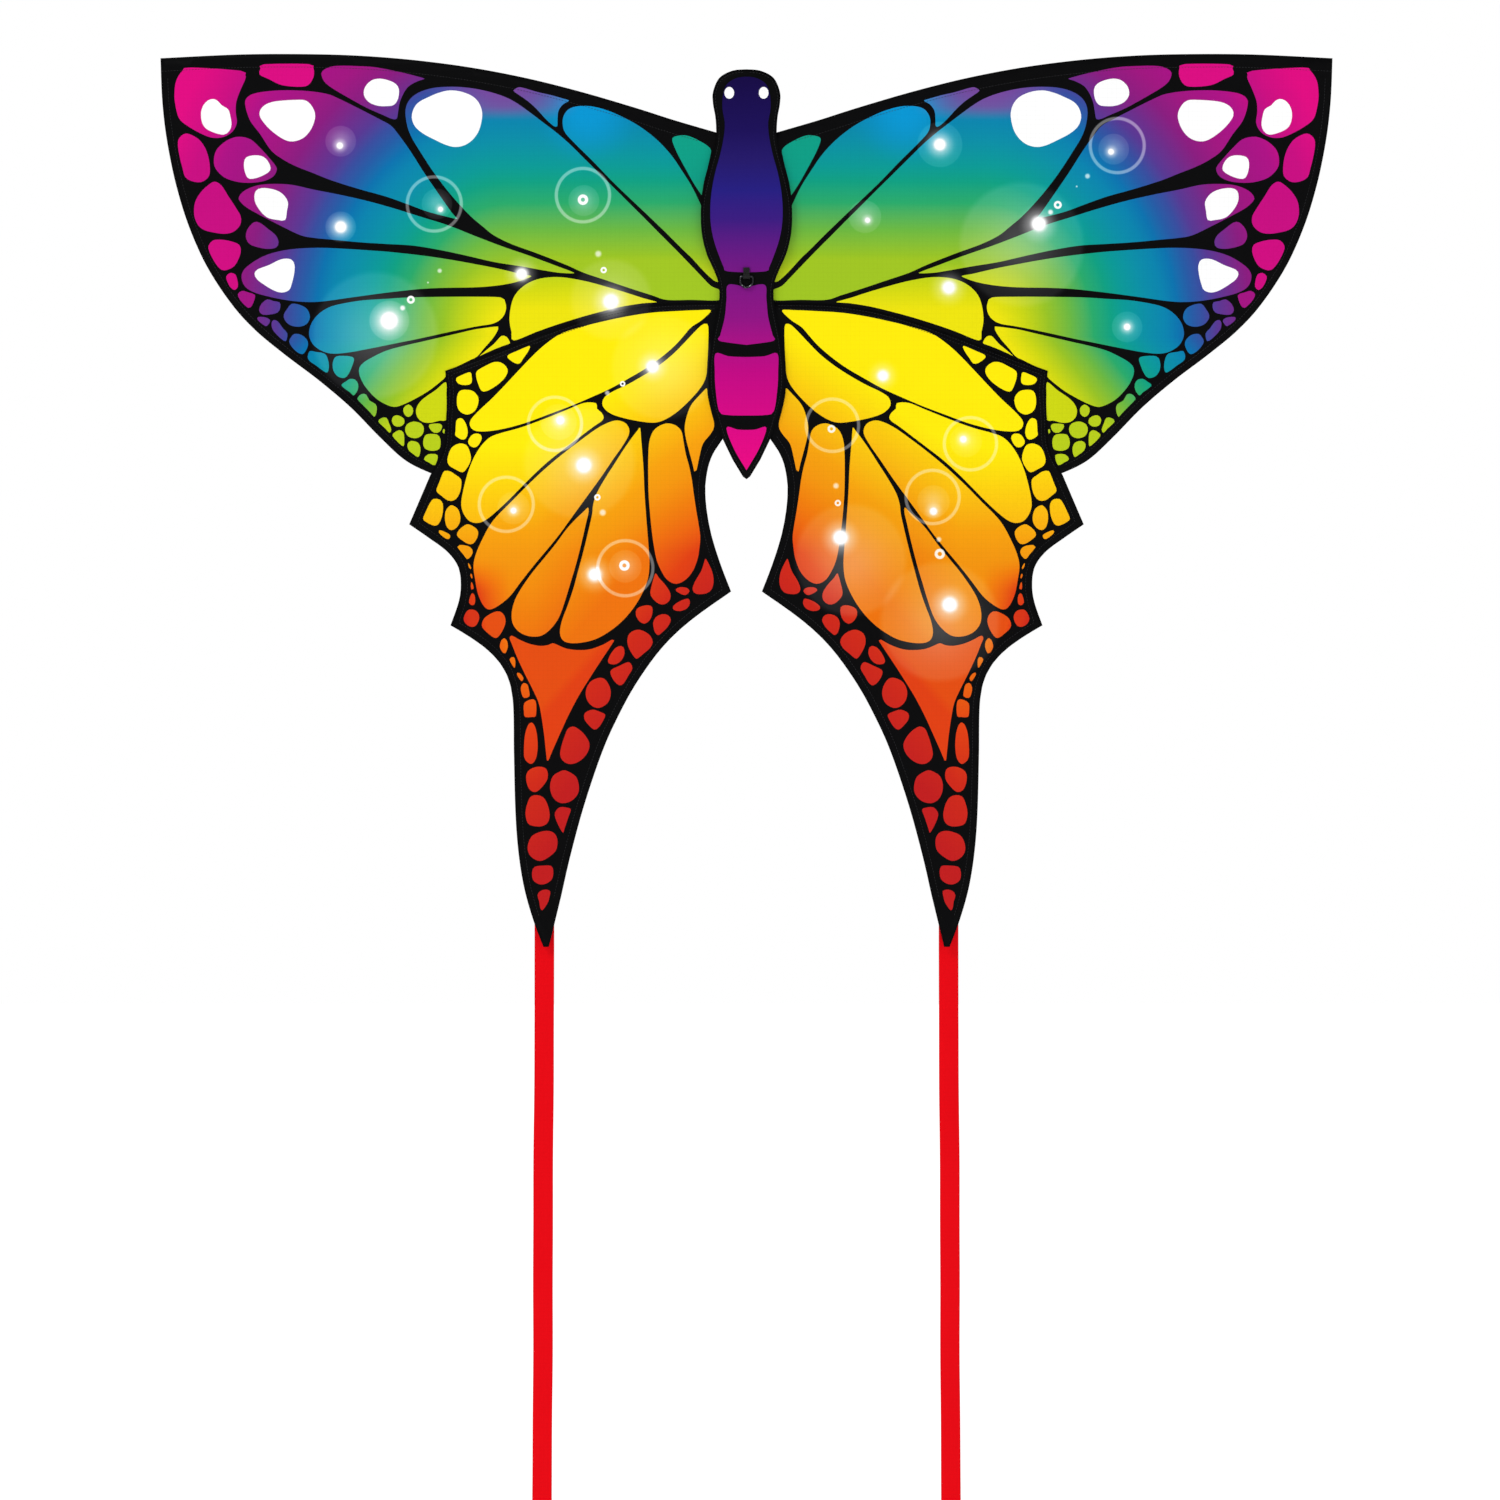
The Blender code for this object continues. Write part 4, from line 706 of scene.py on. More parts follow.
class Nodes:
    """A material's nodes. Each call adds one and returns its output."""

    def __init__(self, name, roughness=0.6, metallic=0.0, specular=0.5):
        self.material = bpy.data.materials.new(name)
        self.material.use_nodes = True
        self.tree = self.material.node_tree
        self.shader = self.tree.nodes["Principled BSDF"]
        self.shader.inputs["Roughness"].default_value = roughness
        self.shader.inputs["Metallic"].default_value = metallic
        self.shader.inputs["Specular IOR Level"].default_value = specular
        place = self.add("ShaderNodeTexCoord").outputs["Object"]
        scaled = self.add("ShaderNodeVectorMath", operation="SCALE")
        self.tree.links.new(place, scaled.inputs[0])
        scaled.inputs["Scale"].default_value = 1 / MM
        self.place = scaled.outputs[0]
        parts = self.add("ShaderNodeSeparateXYZ")
        self.tree.links.new(self.place, parts.inputs[0])
        self.x, self.y, self.z = parts.outputs

    def add(self, kind, **settings):
        node = self.tree.nodes.new(kind)
        for name, value in settings.items():
            setattr(node, name, value)
        return node

    def put(self, socket, value):
        if isinstance(value, bpy.types.NodeSocket):
            self.tree.links.new(value, socket)
        else:
            socket.default_value = value[:3] if socket.type == "VECTOR" else value

    def maths(self, operation, *values):
        node = self.add("ShaderNodeMath", operation=operation)
        for socket, value in zip(node.inputs, values):
            self.put(socket, value)
        return node.outputs[0]

    def fade(self, value, start, end, low=0.0, high=1.0):
        """low where value is at start, high where it is at end, and smooth between."""
        node = self.add("ShaderNodeMapRange", interpolation_type="SMOOTHSTEP")
        for socket, given in zip(node.inputs, (value, start, end, low, high)):
            self.put(socket, given)
        return node.outputs[0]

    def ramp(self, value, stops):
        """Colours by value; stops is a list of (value, colour from 0 to 255)."""
        low, high = stops[0][0], stops[-1][0]
        scaled = self.maths("DIVIDE", self.maths("SUBTRACT", value, low), high - low)
        node = self.add("ShaderNodeValToRGB")
        bar = node.color_ramp.elements
        while len(bar) < len(stops):
            bar.new(0.5)
        for element, (at, _) in zip(bar, stops):
            element.position = (at - low) / (high - low)
        for element, (_, colour) in zip(bar, stops):
            element.color = linear(colour)
        self.put(node.inputs[0], scaled)
        return node.outputs[0]

    def mix(self, share, one, other, blend="MIX"):
        node = self.add("ShaderNodeMix", data_type="RGBA", blend_type=blend)
        self.put(node.inputs["Factor"], share)
        self.put(node.inputs["A"], one)
        self.put(node.inputs["B"], other)
        return next(o for o in node.outputs if o.type == "RGBA")

    def noise(self, scale, detail=3.0, stretch=(1, 1, 1)):
        """Soft noise from 0 to 1; scale is in lumps for each millimetre."""
        moved = self.add("ShaderNodeVectorMath", operation="MULTIPLY")
        self.put(moved.inputs[0], self.place)
        moved.inputs[1].default_value = stretch
        node = self.add("ShaderNodeTexNoise")
        self.put(node.inputs["Vector"], moved.outputs[0])
        node.inputs["Scale"].default_value = scale
        node.inputs["Detail"].default_value = detail
        return node.outputs[0]

    def attribute(self, name):
        node = self.add("ShaderNodeAttribute", attribute_name=name)
        return node.outputs["Fac"]

    def distance(self, at):
        flat = self.add("ShaderNodeCombineXYZ")
        self.put(flat.inputs[0], self.x)
        self.put(flat.inputs[2], self.z)
        node = self.add("ShaderNodeVectorMath", operation="DISTANCE")
        self.put(node.inputs[0], flat.outputs[0])
        node.inputs[1].default_value = (at[0], 0, at[1])
        return node.outputs["Value"]

    def wave(self, value, pitch):
        """From 0 to 1 and back once in each pitch."""
        turned = self.maths("MULTIPLY", value, 2 * math.pi / pitch)
        return self.maths("MULTIPLY_ADD", self.maths("SINE", turned), 0.5, 0.5)

    def lines(self, value, pitch, share):
        """1 on thin lines a pitch apart, 0 between them."""
        phase = self.maths("PINGPONG", value, pitch / 2)
        return self.fade(phase, pitch / 2 * share, 0.0)

    def bump(self, height, distance, strength=1.0):
        """Raised detail; distance is its height in millimetres. A second call adds to the first."""
        node = self.add("ShaderNodeBump")
        self.put(node.inputs["Height"], height)
        node.inputs["Distance"].default_value = distance * MM
        node.inputs["Strength"].default_value = strength
        if self.shader.inputs["Normal"].is_linked:
            self.put(node.inputs["Normal"], self.shader.inputs["Normal"].links[0].from_socket)
        self.put(self.shader.inputs["Normal"], node.outputs[0])

    def gamma(self, value, power):
        node = self.add("ShaderNodeGamma")
        self.put(node.inputs["Color"], value)
        node.inputs["Gamma"].default_value = power
        return node.outputs[0]

    def colour(self, value):
        self.put(self.shader.inputs["Base Color"], value)

    def rough(self, value):
        self.put(self.shader.inputs["Roughness"], value)


def weave(nodes, one, other, pitch):
    """Threads over and under each other, from 0 to 1."""
    return nodes.maths("MULTIPLY", nodes.wave(one, pitch), nodes.wave(other, pitch))


def ripstop(nodes, base, grid=5.0):
    """Thin cloth with a stronger thread every few millimetres, slightly creased."""
    cross = nodes.maths("MAXIMUM", nodes.lines(nodes.x, grid, 0.16), nodes.lines(nodes.z, grid, 0.16))
    fine = weave(nodes, nodes.x, nodes.z, 0.62)
    shade = nodes.maths("MULTIPLY_ADD", cross, -0.05, 1.0)
    shade = nodes.maths("MULTIPLY_ADD", nodes.noise(0.012, 4), 0.05, nodes.maths("SUBTRACT", shade, 0.02))
    tint = nodes.add("ShaderNodeVectorMath", operation="SCALE")
    nodes.put(tint.inputs[0], base)
    nodes.put(tint.inputs["Scale"], shade)
    nodes.colour(tint.outputs[0])
    nodes.rough(nodes.fade(nodes.noise(0.05, 4), 0.2, 0.8, 0.50, 0.64))
    nodes.bump(nodes.noise(0.02, 5), 0.5, 0.55)
    nodes.bump(cross, 0.05, 0.5)
    nodes.bump(fine, 0.02, 0.5)


def glints(nodes, side, listed):
    """How much white the printed glints put over the ink, from 0 to 1."""
    total = 0.0
    for kind, x, z, size in listed:
        away = nodes.distance((side * x, z))
        if kind == "star":
            total = nodes.maths("ADD", total, nodes.fade(away, size, 0.0, 0.0, 1.0))
            total = nodes.maths("ADD", total, nodes.fade(away, size * 2.1, 0.0, 0.0, 0.5))
        elif kind == "disc":
            total = nodes.maths("ADD", total, nodes.fade(away, size + 0.8, size - 0.8, 0.0, 0.10))
            total = nodes.maths("ADD", total, nodes.fade(away, size, 0.0, 0.0, 0.22))
        elif kind == "haze":
            total = nodes.maths("ADD", total, nodes.fade(away, size + 4, size - 5, 0.0, 0.10))
            total = nodes.maths("ADD", total, nodes.fade(away, size, 0.0, 0.0, 0.16))
        elif kind == "ring":
            off = nodes.maths("ABSOLUTE", nodes.maths("SUBTRACT", away, size - 2))
            total = nodes.maths("ADD", total, nodes.fade(off, 2.6, 1.0, 0.0, 0.40))
        elif kind == "bead":
            off = nodes.maths("ABSOLUTE", nodes.maths("SUBTRACT", away, size * 0.62))
            total = nodes.maths("ADD", total, nodes.fade(off, size * 0.36, size * 0.16, 0.0, 0.9))
        else:
            total = nodes.maths("ADD", total, nodes.fade(away, size, size * 0.3, 0.0, 0.7))
    return nodes.maths("MINIMUM", total, 1.0)


def inked(nodes, colours, glow):
    """The print: black, colour or white as each face's ink says, with glints over all of it."""
    ink = nodes.attribute("ink")
    lit = nodes.mix(nodes.maths("GREATER_THAN", ink, 0.5), linear(BLACK_INK), colours)
    lit = nodes.mix(nodes.maths("GREATER_THAN", ink, 1.5), lit, linear(WHITE_INK))
    if glow is None:
        return lit
    shown = nodes.mix(glow, nodes.gamma(lit, 1 / 2.2), (1, 1, 1, 1))
    return nodes.gamma(shown, 2.2)


def kept_within(nodes, tone):
    """Each cell's own shift of the tone, and the least and most tone it may show."""
    tone = nodes.maths("ADD", tone, nodes.attribute("shift"))
    tone = nodes.maths("MAXIMUM", tone, nodes.attribute("least"))
    return nodes.maths("MINIMUM", tone, nodes.attribute("most"))


def upper_print(side, listed):
    """Rainbow from yellow by the seam, through green and blue, to pink at the wing tip."""
    nodes = Nodes("upper_print_" + ("right" if side > 0 else "left"), specular=0.06)
    out = nodes.maths("ABSOLUTE", nodes.x)
    far = nodes.maths("MAXIMUM", nodes.maths("SUBTRACT", out, 260.0), 0.0)
    high = nodes.maths("MULTIPLY", nodes.maths("MAXIMUM", nodes.maths("ADD", nodes.z, 60.0), 0.0), 0.85)
    low = nodes.maths("MAXIMUM", nodes.maths("SUBTRACT", -60.0, nodes.z), 0.0)
    reach = nodes.maths("SQRT", nodes.maths("ADD", nodes.maths("MULTIPLY", far, far),
                                            nodes.maths("MULTIPLY", high, high)))
    tone = nodes.maths("SUBTRACT", reach, nodes.maths("MULTIPLY", low, 0.8))
    colours = nodes.ramp(kept_within(nodes, tone), UPPER_RAMP)
    sky = nodes.fade(nodes.distance((side * 175, 190)), 66.0, 6.0, 0.0, 0.85)
    colours = nodes.mix(sky, colours, linear((0, 152, 214)))
    near_edge = nodes.fade(nodes.distance((side * 268, 232)), 95.0, 20.0, 0.0, 0.8)
    near_edge = nodes.maths("MULTIPLY", near_edge, nodes.fade(nodes.z, 178.0, 196.0, 0.0, 1.0))
    colours = nodes.mix(near_edge, colours, linear((128, 62, 152)))
    ripstop(nodes, inked(nodes, colours, glints(nodes, side, listed)))
    return nodes.material


def lower_print(side, listed):
    """Yellow by the seam, through orange, to dark red at the tip of the leg."""
    nodes = Nodes("lower_print_" + ("right" if side > 0 else "left"), specular=0.06)
    out = nodes.maths("ABSOLUTE", nodes.x)
    inner = nodes.maths("MULTIPLY", nodes.maths("MINIMUM", out, 235.0), 0.6)
    deep = nodes.maths("MAXIMUM", nodes.maths("SUBTRACT", -300.0, nodes.z), 0.0)
    tone = nodes.maths("SUBTRACT", nodes.maths("SUBTRACT", 0.0, nodes.z), inner)
    tone = nodes.maths("SUBTRACT", tone, nodes.maths("MULTIPLY", deep, 0.45))
    rim = nodes.maths("MAXIMUM", nodes.maths("SUBTRACT", out, 262.0), 0.0)
    rim = nodes.maths("MULTIPLY", rim, nodes.fade(nodes.z, -300.0, -345.0, 0.0, 2.0))
    tone = nodes.maths("ADD", tone, rim)
    colours = nodes.ramp(kept_within(nodes, tone), LOWER_RAMP)
    ripstop(nodes, inked(nodes, colours, glints(nodes, side, listed)))
    return nodes.material


def body_print():
    nodes = Nodes("body_print", specular=0.06)
    ripstop(nodes, inked(nodes, nodes.ramp(nodes.z, BODY_RAMP), None))
    return nodes.material


def ribbon_cloth():
    nodes = Nodes("ribbon_cloth", specular=0.06)
    ripstop(nodes, linear(RIBBON_RED), grid=4.4)
    return nodes.material


def black_cloth(name, pitch=1.1, shade=6):
    """Black nylon tape, with the ribs of its weave running across it."""
    nodes = Nodes(name, specular=0.2)
    ribs = nodes.wave(nodes.maths("ADD", nodes.z, nodes.maths("MULTIPLY", nodes.x, 0.8)), pitch)
    cords = nodes.wave(nodes.maths("SUBTRACT", nodes.z, nodes.maths("MULTIPLY", nodes.x, 0.8)), pitch)
    knit = nodes.maths("MULTIPLY", ribs, cords)
    dark, pale = linear((shade, shade, shade + 1)), linear((shade + 17, shade + 17, shade + 19))
    fuzz = nodes.maths("MULTIPLY", nodes.noise(0.4, 6), nodes.maths("MULTIPLY_ADD", knit, 0.6, 0.25))
    nodes.colour(nodes.mix(fuzz, dark, pale))
    nodes.rough(nodes.fade(nodes.noise(0.6, 4), 0.2, 0.8, 0.62, 0.82))
    nodes.bump(knit, 0.12, 0.7)
    nodes.bump(nodes.noise(0.12, 4), 0.25, 0.5)
    nodes.shader.inputs["Sheen Weight"].default_value = 0.08
    return nodes.material


def thread():
    nodes = Nodes("thread", specular=0.3)
    twist = nodes.wave(nodes.maths("ADD", nodes.maths("ADD", nodes.x, nodes.y), nodes.z), 0.35)
    nodes.colour(nodes.mix(twist, linear((16, 16, 18)), linear((46, 46, 50))))
    nodes.rough(nodes.fade(twist, 0.0, 1.0, 0.45, 0.65))
    nodes.bump(twist, 0.05, 0.6)
    return nodes.material


def vinyl():
    """Soft moulded plastic with a fine pebbled skin and scuffs."""
    nodes = Nodes("vinyl", specular=0.45)
    pebbles = nodes.noise(2.4, 2)
    scuffs = nodes.fade(nodes.noise(0.22, 6), 0.58, 0.72)
    worn = nodes.maths("MULTIPLY", scuffs, 0.6)
    nodes.colour(nodes.mix(worn, linear((17, 17, 18)), linear((52, 52, 54))))
    nodes.rough(nodes.maths("MULTIPLY_ADD", scuffs, 0.22, nodes.fade(pebbles, 0.2, 0.8, 0.40, 0.56)))
    nodes.bump(pebbles, 0.06, 0.6)
    return nodes.material


def fibreglass():
    """A black pultruded rod: fine streaks along its length under a clear resin skin."""
    nodes = Nodes("fibreglass", specular=0.5)
    streaks = nodes.noise(1.2, 5, (0.12, 1, 0.12))
    nodes.colour(nodes.mix(nodes.fade(streaks, 0.35, 0.75), linear((14, 14, 16)), linear((44, 44, 48))))
    nodes.rough(nodes.fade(streaks, 0.3, 0.8, 0.24, 0.44))
    nodes.bump(streaks, 0.04, 0.5)
    nodes.shader.inputs["Coat Weight"].default_value = 0.3
    nodes.shader.inputs["Coat Roughness"].default_value = 0.2
    return nodes.material


def dark_metal():
    """Blackened steel wire, bright where the clip rubs it."""
    nodes = Nodes("dark_metal", roughness=0.3, metallic=1.0)
    rubbed = nodes.fade(nodes.noise(0.7, 6), 0.52, 0.7)
    low = nodes.fade(nodes.z, 1.0, -8.0)
    worn = nodes.maths("MULTIPLY", rubbed, nodes.maths("MULTIPLY_ADD", low, 0.7, 0.15))
    nodes.colour(nodes.mix(worn, linear((40, 40, 44)), linear((168, 168, 172))))
    nodes.rough(nodes.fade(nodes.noise(1.5, 5), 0.2, 0.8, 0.22, 0.42))
    nodes.bump(nodes.noise(3.0, 3), 0.02, 0.5)
    return nodes.material


def elastic():
    """Braided elastic: ribs along the band."""
    nodes = Nodes("elastic", specular=0.2)
    ribs = nodes.wave(nodes.z, 0.8)
    knots = nodes.maths("MULTIPLY", ribs, nodes.wave(nodes.maths("ADD", nodes.x, nodes.y), 1.2))
    nodes.colour(nodes.mix(knots, linear((10, 10, 11)), linear((40, 40, 43))))
    nodes.rough(nodes.fade(nodes.noise(0.8, 4), 0.2, 0.8, 0.6, 0.8))
    nodes.bump(knots, 0.15, 0.8)
    return nodes.material


# ---- Camera, light and floor ---------------------------------------------------------------------
VIEW_WIDE = 1.2733       # the view's width, as a share of the span
VIEW_RIGHT = 0.003       # how far right of the centre line it looks, as a share of the span
VIEW_DOWN = 0.5933       # how far below the kite's top it looks, as a share of the span


def camera():
    """Straight at the printed front, from far off. The view ends above the rolled-up ribbon ends."""
    wide = CAD_HIGH.x - CAD_LOW.x
    shown = VIEW_WIDE * wide
    lens, sensor = 400.0, 36.0
    data = bpy.data.cameras.new("camera")
    data.lens = lens
    data.sensor_width = sensor
    data.clip_end = 500
    obj = bpy.data.objects.new("camera", data)
    obj.location = (VIEW_RIGHT * wide, -shown * lens / sensor, CAD_HIGH.z - VIEW_DOWN * wide)
    obj.rotation_euler = (math.pi / 2, 0, 0)
    bpy.context.scene.collection.objects.link(obj)
    bpy.context.scene.camera = obj


def sun(name, strength, azimuth, elevation, softness):
    data = bpy.data.lights.new(name, "SUN")
    data.energy = strength
    data.angle = math.radians(softness)
    obj = bpy.data.objects.new(name, data)
    a, e = math.radians(azimuth), math.radians(elevation)
    obj.rotation_euler = Vector((math.sin(a) * math.cos(e), -math.cos(a) * math.cos(e),
                                 math.sin(e))).to_track_quat("Z", "Y").to_euler()
    bpy.context.scene.collection.objects.link(obj)


def studio():
    scene = bpy.context.scene
    scene.view_settings.view_transform = "Standard"
    scene.world = bpy.data.worlds.new("studio")
    scene.world.use_nodes = True
    tree = scene.world.node_tree
    room = tree.nodes["Background"]
    room.inputs["Color"].default_value = (1, 1, 1, 1)
    room.inputs["Strength"].default_value = 0.40
    seen = tree.nodes.new("ShaderNodeBackground")
    seen.inputs["Color"].default_value = (1, 1, 1, 1)
    seen.inputs["Strength"].default_value = 1.0
    path = tree.nodes.new("ShaderNodeLightPath")
    either = tree.nodes.new("ShaderNodeMixShader")
    tree.links.new(path.outputs["Is Camera Ray"], either.inputs[0])
    tree.links.new(room.outputs[0], either.inputs[1])
    tree.links.new(seen.outputs[0], either.inputs[2])
    tree.links.new(either.outputs[0], tree.nodes["World Output"].inputs["Surface"])
    sun("key", 1.0, -38, 42, 25)
    sun("fill", 0.42, 48, 22, 40)
    sun("rear", 1.25, 160, 48, 30)
    reach = 40.0
    low = CAD_LOW.z - 0.002
    mesh = bpy.data.meshes.new("floor")
    mesh.from_pydata([(-reach, -reach, low), (reach, -reach, low), (reach, reach, low),
                      (-reach, reach, low)], [], [(0, 1, 2, 3)])
    floor = bpy.data.objects.new("floor", mesh)
    scene.collection.objects.link(floor)
    pale = bpy.data.materials.new("pale_floor")
    pale.use_nodes = True
    shader = pale.node_tree.nodes["Principled BSDF"]
    shader.inputs["Base Color"].default_value = (0.86, 0.86, 0.86, 1)
    shader.inputs["Roughness"].default_value = 0.9
    shader.inputs["Specular IOR Level"].default_value = 0.1
    shader.inputs["Emission Color"].default_value = (1, 1, 1, 1)
    shader.inputs["Emission Strength"].default_value = 0.36
    mesh.materials.append(pale)


camera()
studio()

THREAD = thread()
TAPE = black_cloth("black_tape")
WEBBING = black_cloth("webbing", pitch=1.6, shade=14)
VINYL = vinyl()
ROD = fibreglass()
METAL = dark_metal()
ELASTIC = elastic()
RIBBON = ribbon_cloth()


def dress(node, material):
    """Gives a CAD node its finished material."""
    data = frame["nodes"][node].data
    data.materials.clear()
    data.materials.append(material)
    for face in data.polygons:
        face.material_index = 0


# ---- Printed cloth --------------------------------------------------------------------------------
# A cell's tone may be kept above the least or below the most, or shifted along its sail's ramp.
UPPER_TONES = {
    "heart": {"least": 72}, "lead_1": {"least": 60}, "root": {"most": 148}, "edge_1": {"least": 388},
    "edge_2": {"least": 388}, "edge_4": {"least": 400}, "edge_5": {"least": 400}, "edge_6": {"least": 335},
    "top_small": {"least": 415}, "top_long": {"shift": 20}, "fold_2": {"least": 48},
    "fan_1": {"shift": 8}, "fan_2": {"shift": 6}, **{f"drop_{i}": {"least": 60} for i in range(1, 12)}}
LOWER_TONES = {
    "fan_1": {"shift": -12}, "fan_2": {"shift": 10}, "fan_3": {"shift": 8, "most": 224},
    "fan_4": {"shift": -15, "most": 220}, "fan_5": {"most": 290}, "leg": {"least": 256, "most": 266},
    "out_9": {"shift": -10}, "out_18": {"least": 285}, "out_19": {"least": 255},
    **{f"in_{i}": {"shift": 24} for i in range(1, 15)}}
USUAL_TONES = {"least": -500.0, "most": 500.0, "shift": 0.0}


def upper_outline(step):
    """The upper sail runs on 10 mm behind the lower sail's seam."""
    behind = inset(chain(smooth(SEAM, 16), smooth(SEAM_DOWN, 16)), 10.0)[:-1]
    return chain([(12.3, 156.5)], smooth(LEADING_EDGE, step), smooth(WING_OUTER_EDGE, step), behind[::-1])


def lower_outline(step):
    return chain(smooth(SEAM, step), smooth(SEAM_DOWN, step), SHOULDER, smooth(SCALLOP, step),
                 smooth(TAIL_OUTER, step), smooth(TAIL_INNER, step), smooth(NOTCH, step),
                 [(18, -160), (12.3, -150)])


def without_last(points):
    return points[:-1] if math.dist(points[0], points[-1]) < 1e-6 else points


def sail(label, side, name, outline, cells, spots, back, material, tones, node):
    points, triangles, inks, names = cut_cloth(without_last(outline), cells, spots, 9.0, 4.0)
    middle = back - SAIL_T / 2
    obj = piece(f"{name}_{label}", [on_sail(side, x, middle, z) for x, z in points], triangles, material)
    tag(obj, "ink", inks)
    for kind, usual in USUAL_TONES.items():
        tag(obj, kind, [float(tones.get(n, {}).get(kind, usual)) for n in names])
    thicken(obj, CLOTH_T)
    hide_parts(f"{name}_{node}")
    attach(obj, f"{name}_wing")
    return obj


def seam_line(side, points, back, facing):
    """Places and normals along a seam of a wing; facing is -1 on the printed front, 1 on the back."""
    normal = on_wing(side, 100, facing, 0) - on_wing(side, 100, 0, 0)
    return [(on_sail(side, x, back, z), normal) for x, z in even(points, 4.0)]


def hem(label, edge, sail_back, side, name, wide=9.0):
    """A hem folded to the back along an edge of the sail, with its rounded fold."""
    edge = even(edge, 5.0)
    inner = inset(edge, wide)
    middle = sail_back + 0.5
    normal = on_wing(side, 100, 1, 0) - on_wing(side, 100, 0, 0)
    rails = [(on_sail(side, a[0], middle, a[1]), on_sail(side, b[0], middle, b[1]), normal)
             for a, b in zip(edge, inner)]
    obj = ribbon_between(f"{name}_{label}_cloth", rails, 0.2, TAPE)
    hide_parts(f"{name}_{label}")
    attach(obj, f"{name}_wing")
    return obj


def wing_cloth(side, name):
    glow = RIGHT_GLINTS if side > 0 else LEFT_GLINTS
    upper = upper_outline(5)
    lower = lower_outline(5)
    top = sail("upper_panel", side, name, upper, UPPER_CELLS, WHITE_SPOTS, UPPER_BACK,
               upper_print(side, glow), UPPER_TONES, "upper_sail")
    bottom = sail("lower_panel", side, name, lower, LOWER_CELLS, [], LOWER_BACK,
                  lower_print(side, glow), LOWER_TONES, "lower_sail")
    wing_edge = smooth(WING_OUTER_EDGE, 16)[2:-1]
    outer = chain(SHOULDER, smooth(SCALLOP, 16), smooth(TAIL_OUTER, 16)[:-3])
    inner = chain(smooth(TAIL_INNER, 16)[4:], smooth(NOTCH, 16))
    hems = [hem("wing_hem", wing_edge, UPPER_BACK, side, name),
            hem("tail_outer_hem", outer, LOWER_BACK, side, name),
            hem("tail_inner_hem", inner, LOWER_BACK, side, name)]
    upper_front, lower_front = UPPER_BACK - SAIL_T / 2 - 0.2, LOWER_BACK - SAIL_T / 2 - 0.2
    upper_hem, lower_hem = UPPER_BACK + 0.72, LOWER_BACK + 0.72
    lead = [(x, z) for x, z in inset(smooth(LEADING_EDGE, 12), 14.5) if x > 52]
    seam = chain(smooth(SEAM, 12), smooth(SEAM_DOWN, 12))
    rows = [seam_line(side, inset(wing_edge, 7.4), upper_front, -1),
            seam_line(side, inset(wing_edge, 7.4), upper_hem, 1),
            seam_line(side, lead, upper_front, -1),
            seam_line(side, lead, UPPER_BACK - 0.02, 1),
            seam_line(side, inset(outer, 7.4), lower_front, -1),
            seam_line(side, inset(outer, 7.4), lower_hem, 1),
            seam_line(side, inset(inner, 7.4), lower_front, -1),
            seam_line(side, inset(inner, 7.4), lower_hem, 1),
            seam_line(side, inset(seam, 2.6)[2:-1], lower_front, -1),
            seam_line(side, inset(seam, 6.4)[2:-3], lower_front, -1)]
    sewn = stitches(f"{name}_seams", rows, THREAD)
    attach(sewn, f"{name}_wing")


# ---- Sleeves, patches and loops --------------------------------------------------------------------
def puckered(path, radius, seed, rate=0.09, depth=0.14):
    """Radii for a cloth sleeve, drawn in a little here and there by its stitches."""
    return [radius - depth * (0.5 + 0.5 * noise.noise((i * rate * 4, seed, 0.0)))
            - (0.08 if i % 3 == 0 else 0.0) for i in range(len(path))]


def sleeve(name, path, radius, seed, body, node):
    """An open cloth tube, its wall thickened inward and its ends kept near the full radius."""
    radii = puckered(path, radius, seed)
    for i in (0, 1, -2, -1):
        radii[i] = radius - 0.02
    obj = tube(name, path, radii, TAPE, sides=20, closed_ends=False)
    wall = obj.modifiers.new("wall", "SOLIDIFY")
    wall.thickness = 0.45 * MM
    wall.offset = -1
    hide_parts(node)
    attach(obj, body)
    return obj


def leading_sleeve(side, name):
    cased = [p for p in smooth(UNDER_EDGE, 20) if 60 < p[0] < 622]
    path = [on_wing(side, x, 0, z) for x, z in even(cased, 3.0)]
    sleeve(f"{name}_edge_casing", path, 3.9, side * 3.1, f"{name}_wing", f"{name}_leading_edge_sleeve")


def plate(name, outline, place, thickness, material, step=3.0):
    """A flat piece of cloth from an outline; place turns (across, up) into a point."""
    points, triangles, _, _ = cut_cloth(without_last(outline), {}, [], step, 4.0)
    obj = piece(name, [place(x, z) for x, z in points], triangles, material)
    return thicken(obj, thickness)


def patch(label, outline, side, name):
    """A reinforcing patch on the back of a wing; patches() sews the wingtip one round its edge and across.
    """
    middle = 4.45
    obj = plate(f"{name}_{label}_cloth", even(outline + outline[:1], 3.0)[:-1],
                lambda x, z: on_wing(side, x, middle, z), 0.5, WEBBING)
    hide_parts(f"{name}_{label}")
    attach(obj, f"{name}_wing")
    return obj


def back_stitches(name, runs, side, back, body):
    normal = on_wing(side, 100, 1, 0) - on_wing(side, 100, 0, 0)
    rows = [[(on_wing(side, x, back, z), normal) for x, z in even(run, 2.0)] for run in runs]
    sewn = stitches(name, rows, THREAD, pitch=2.8, length=2.1)
    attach(sewn, body)


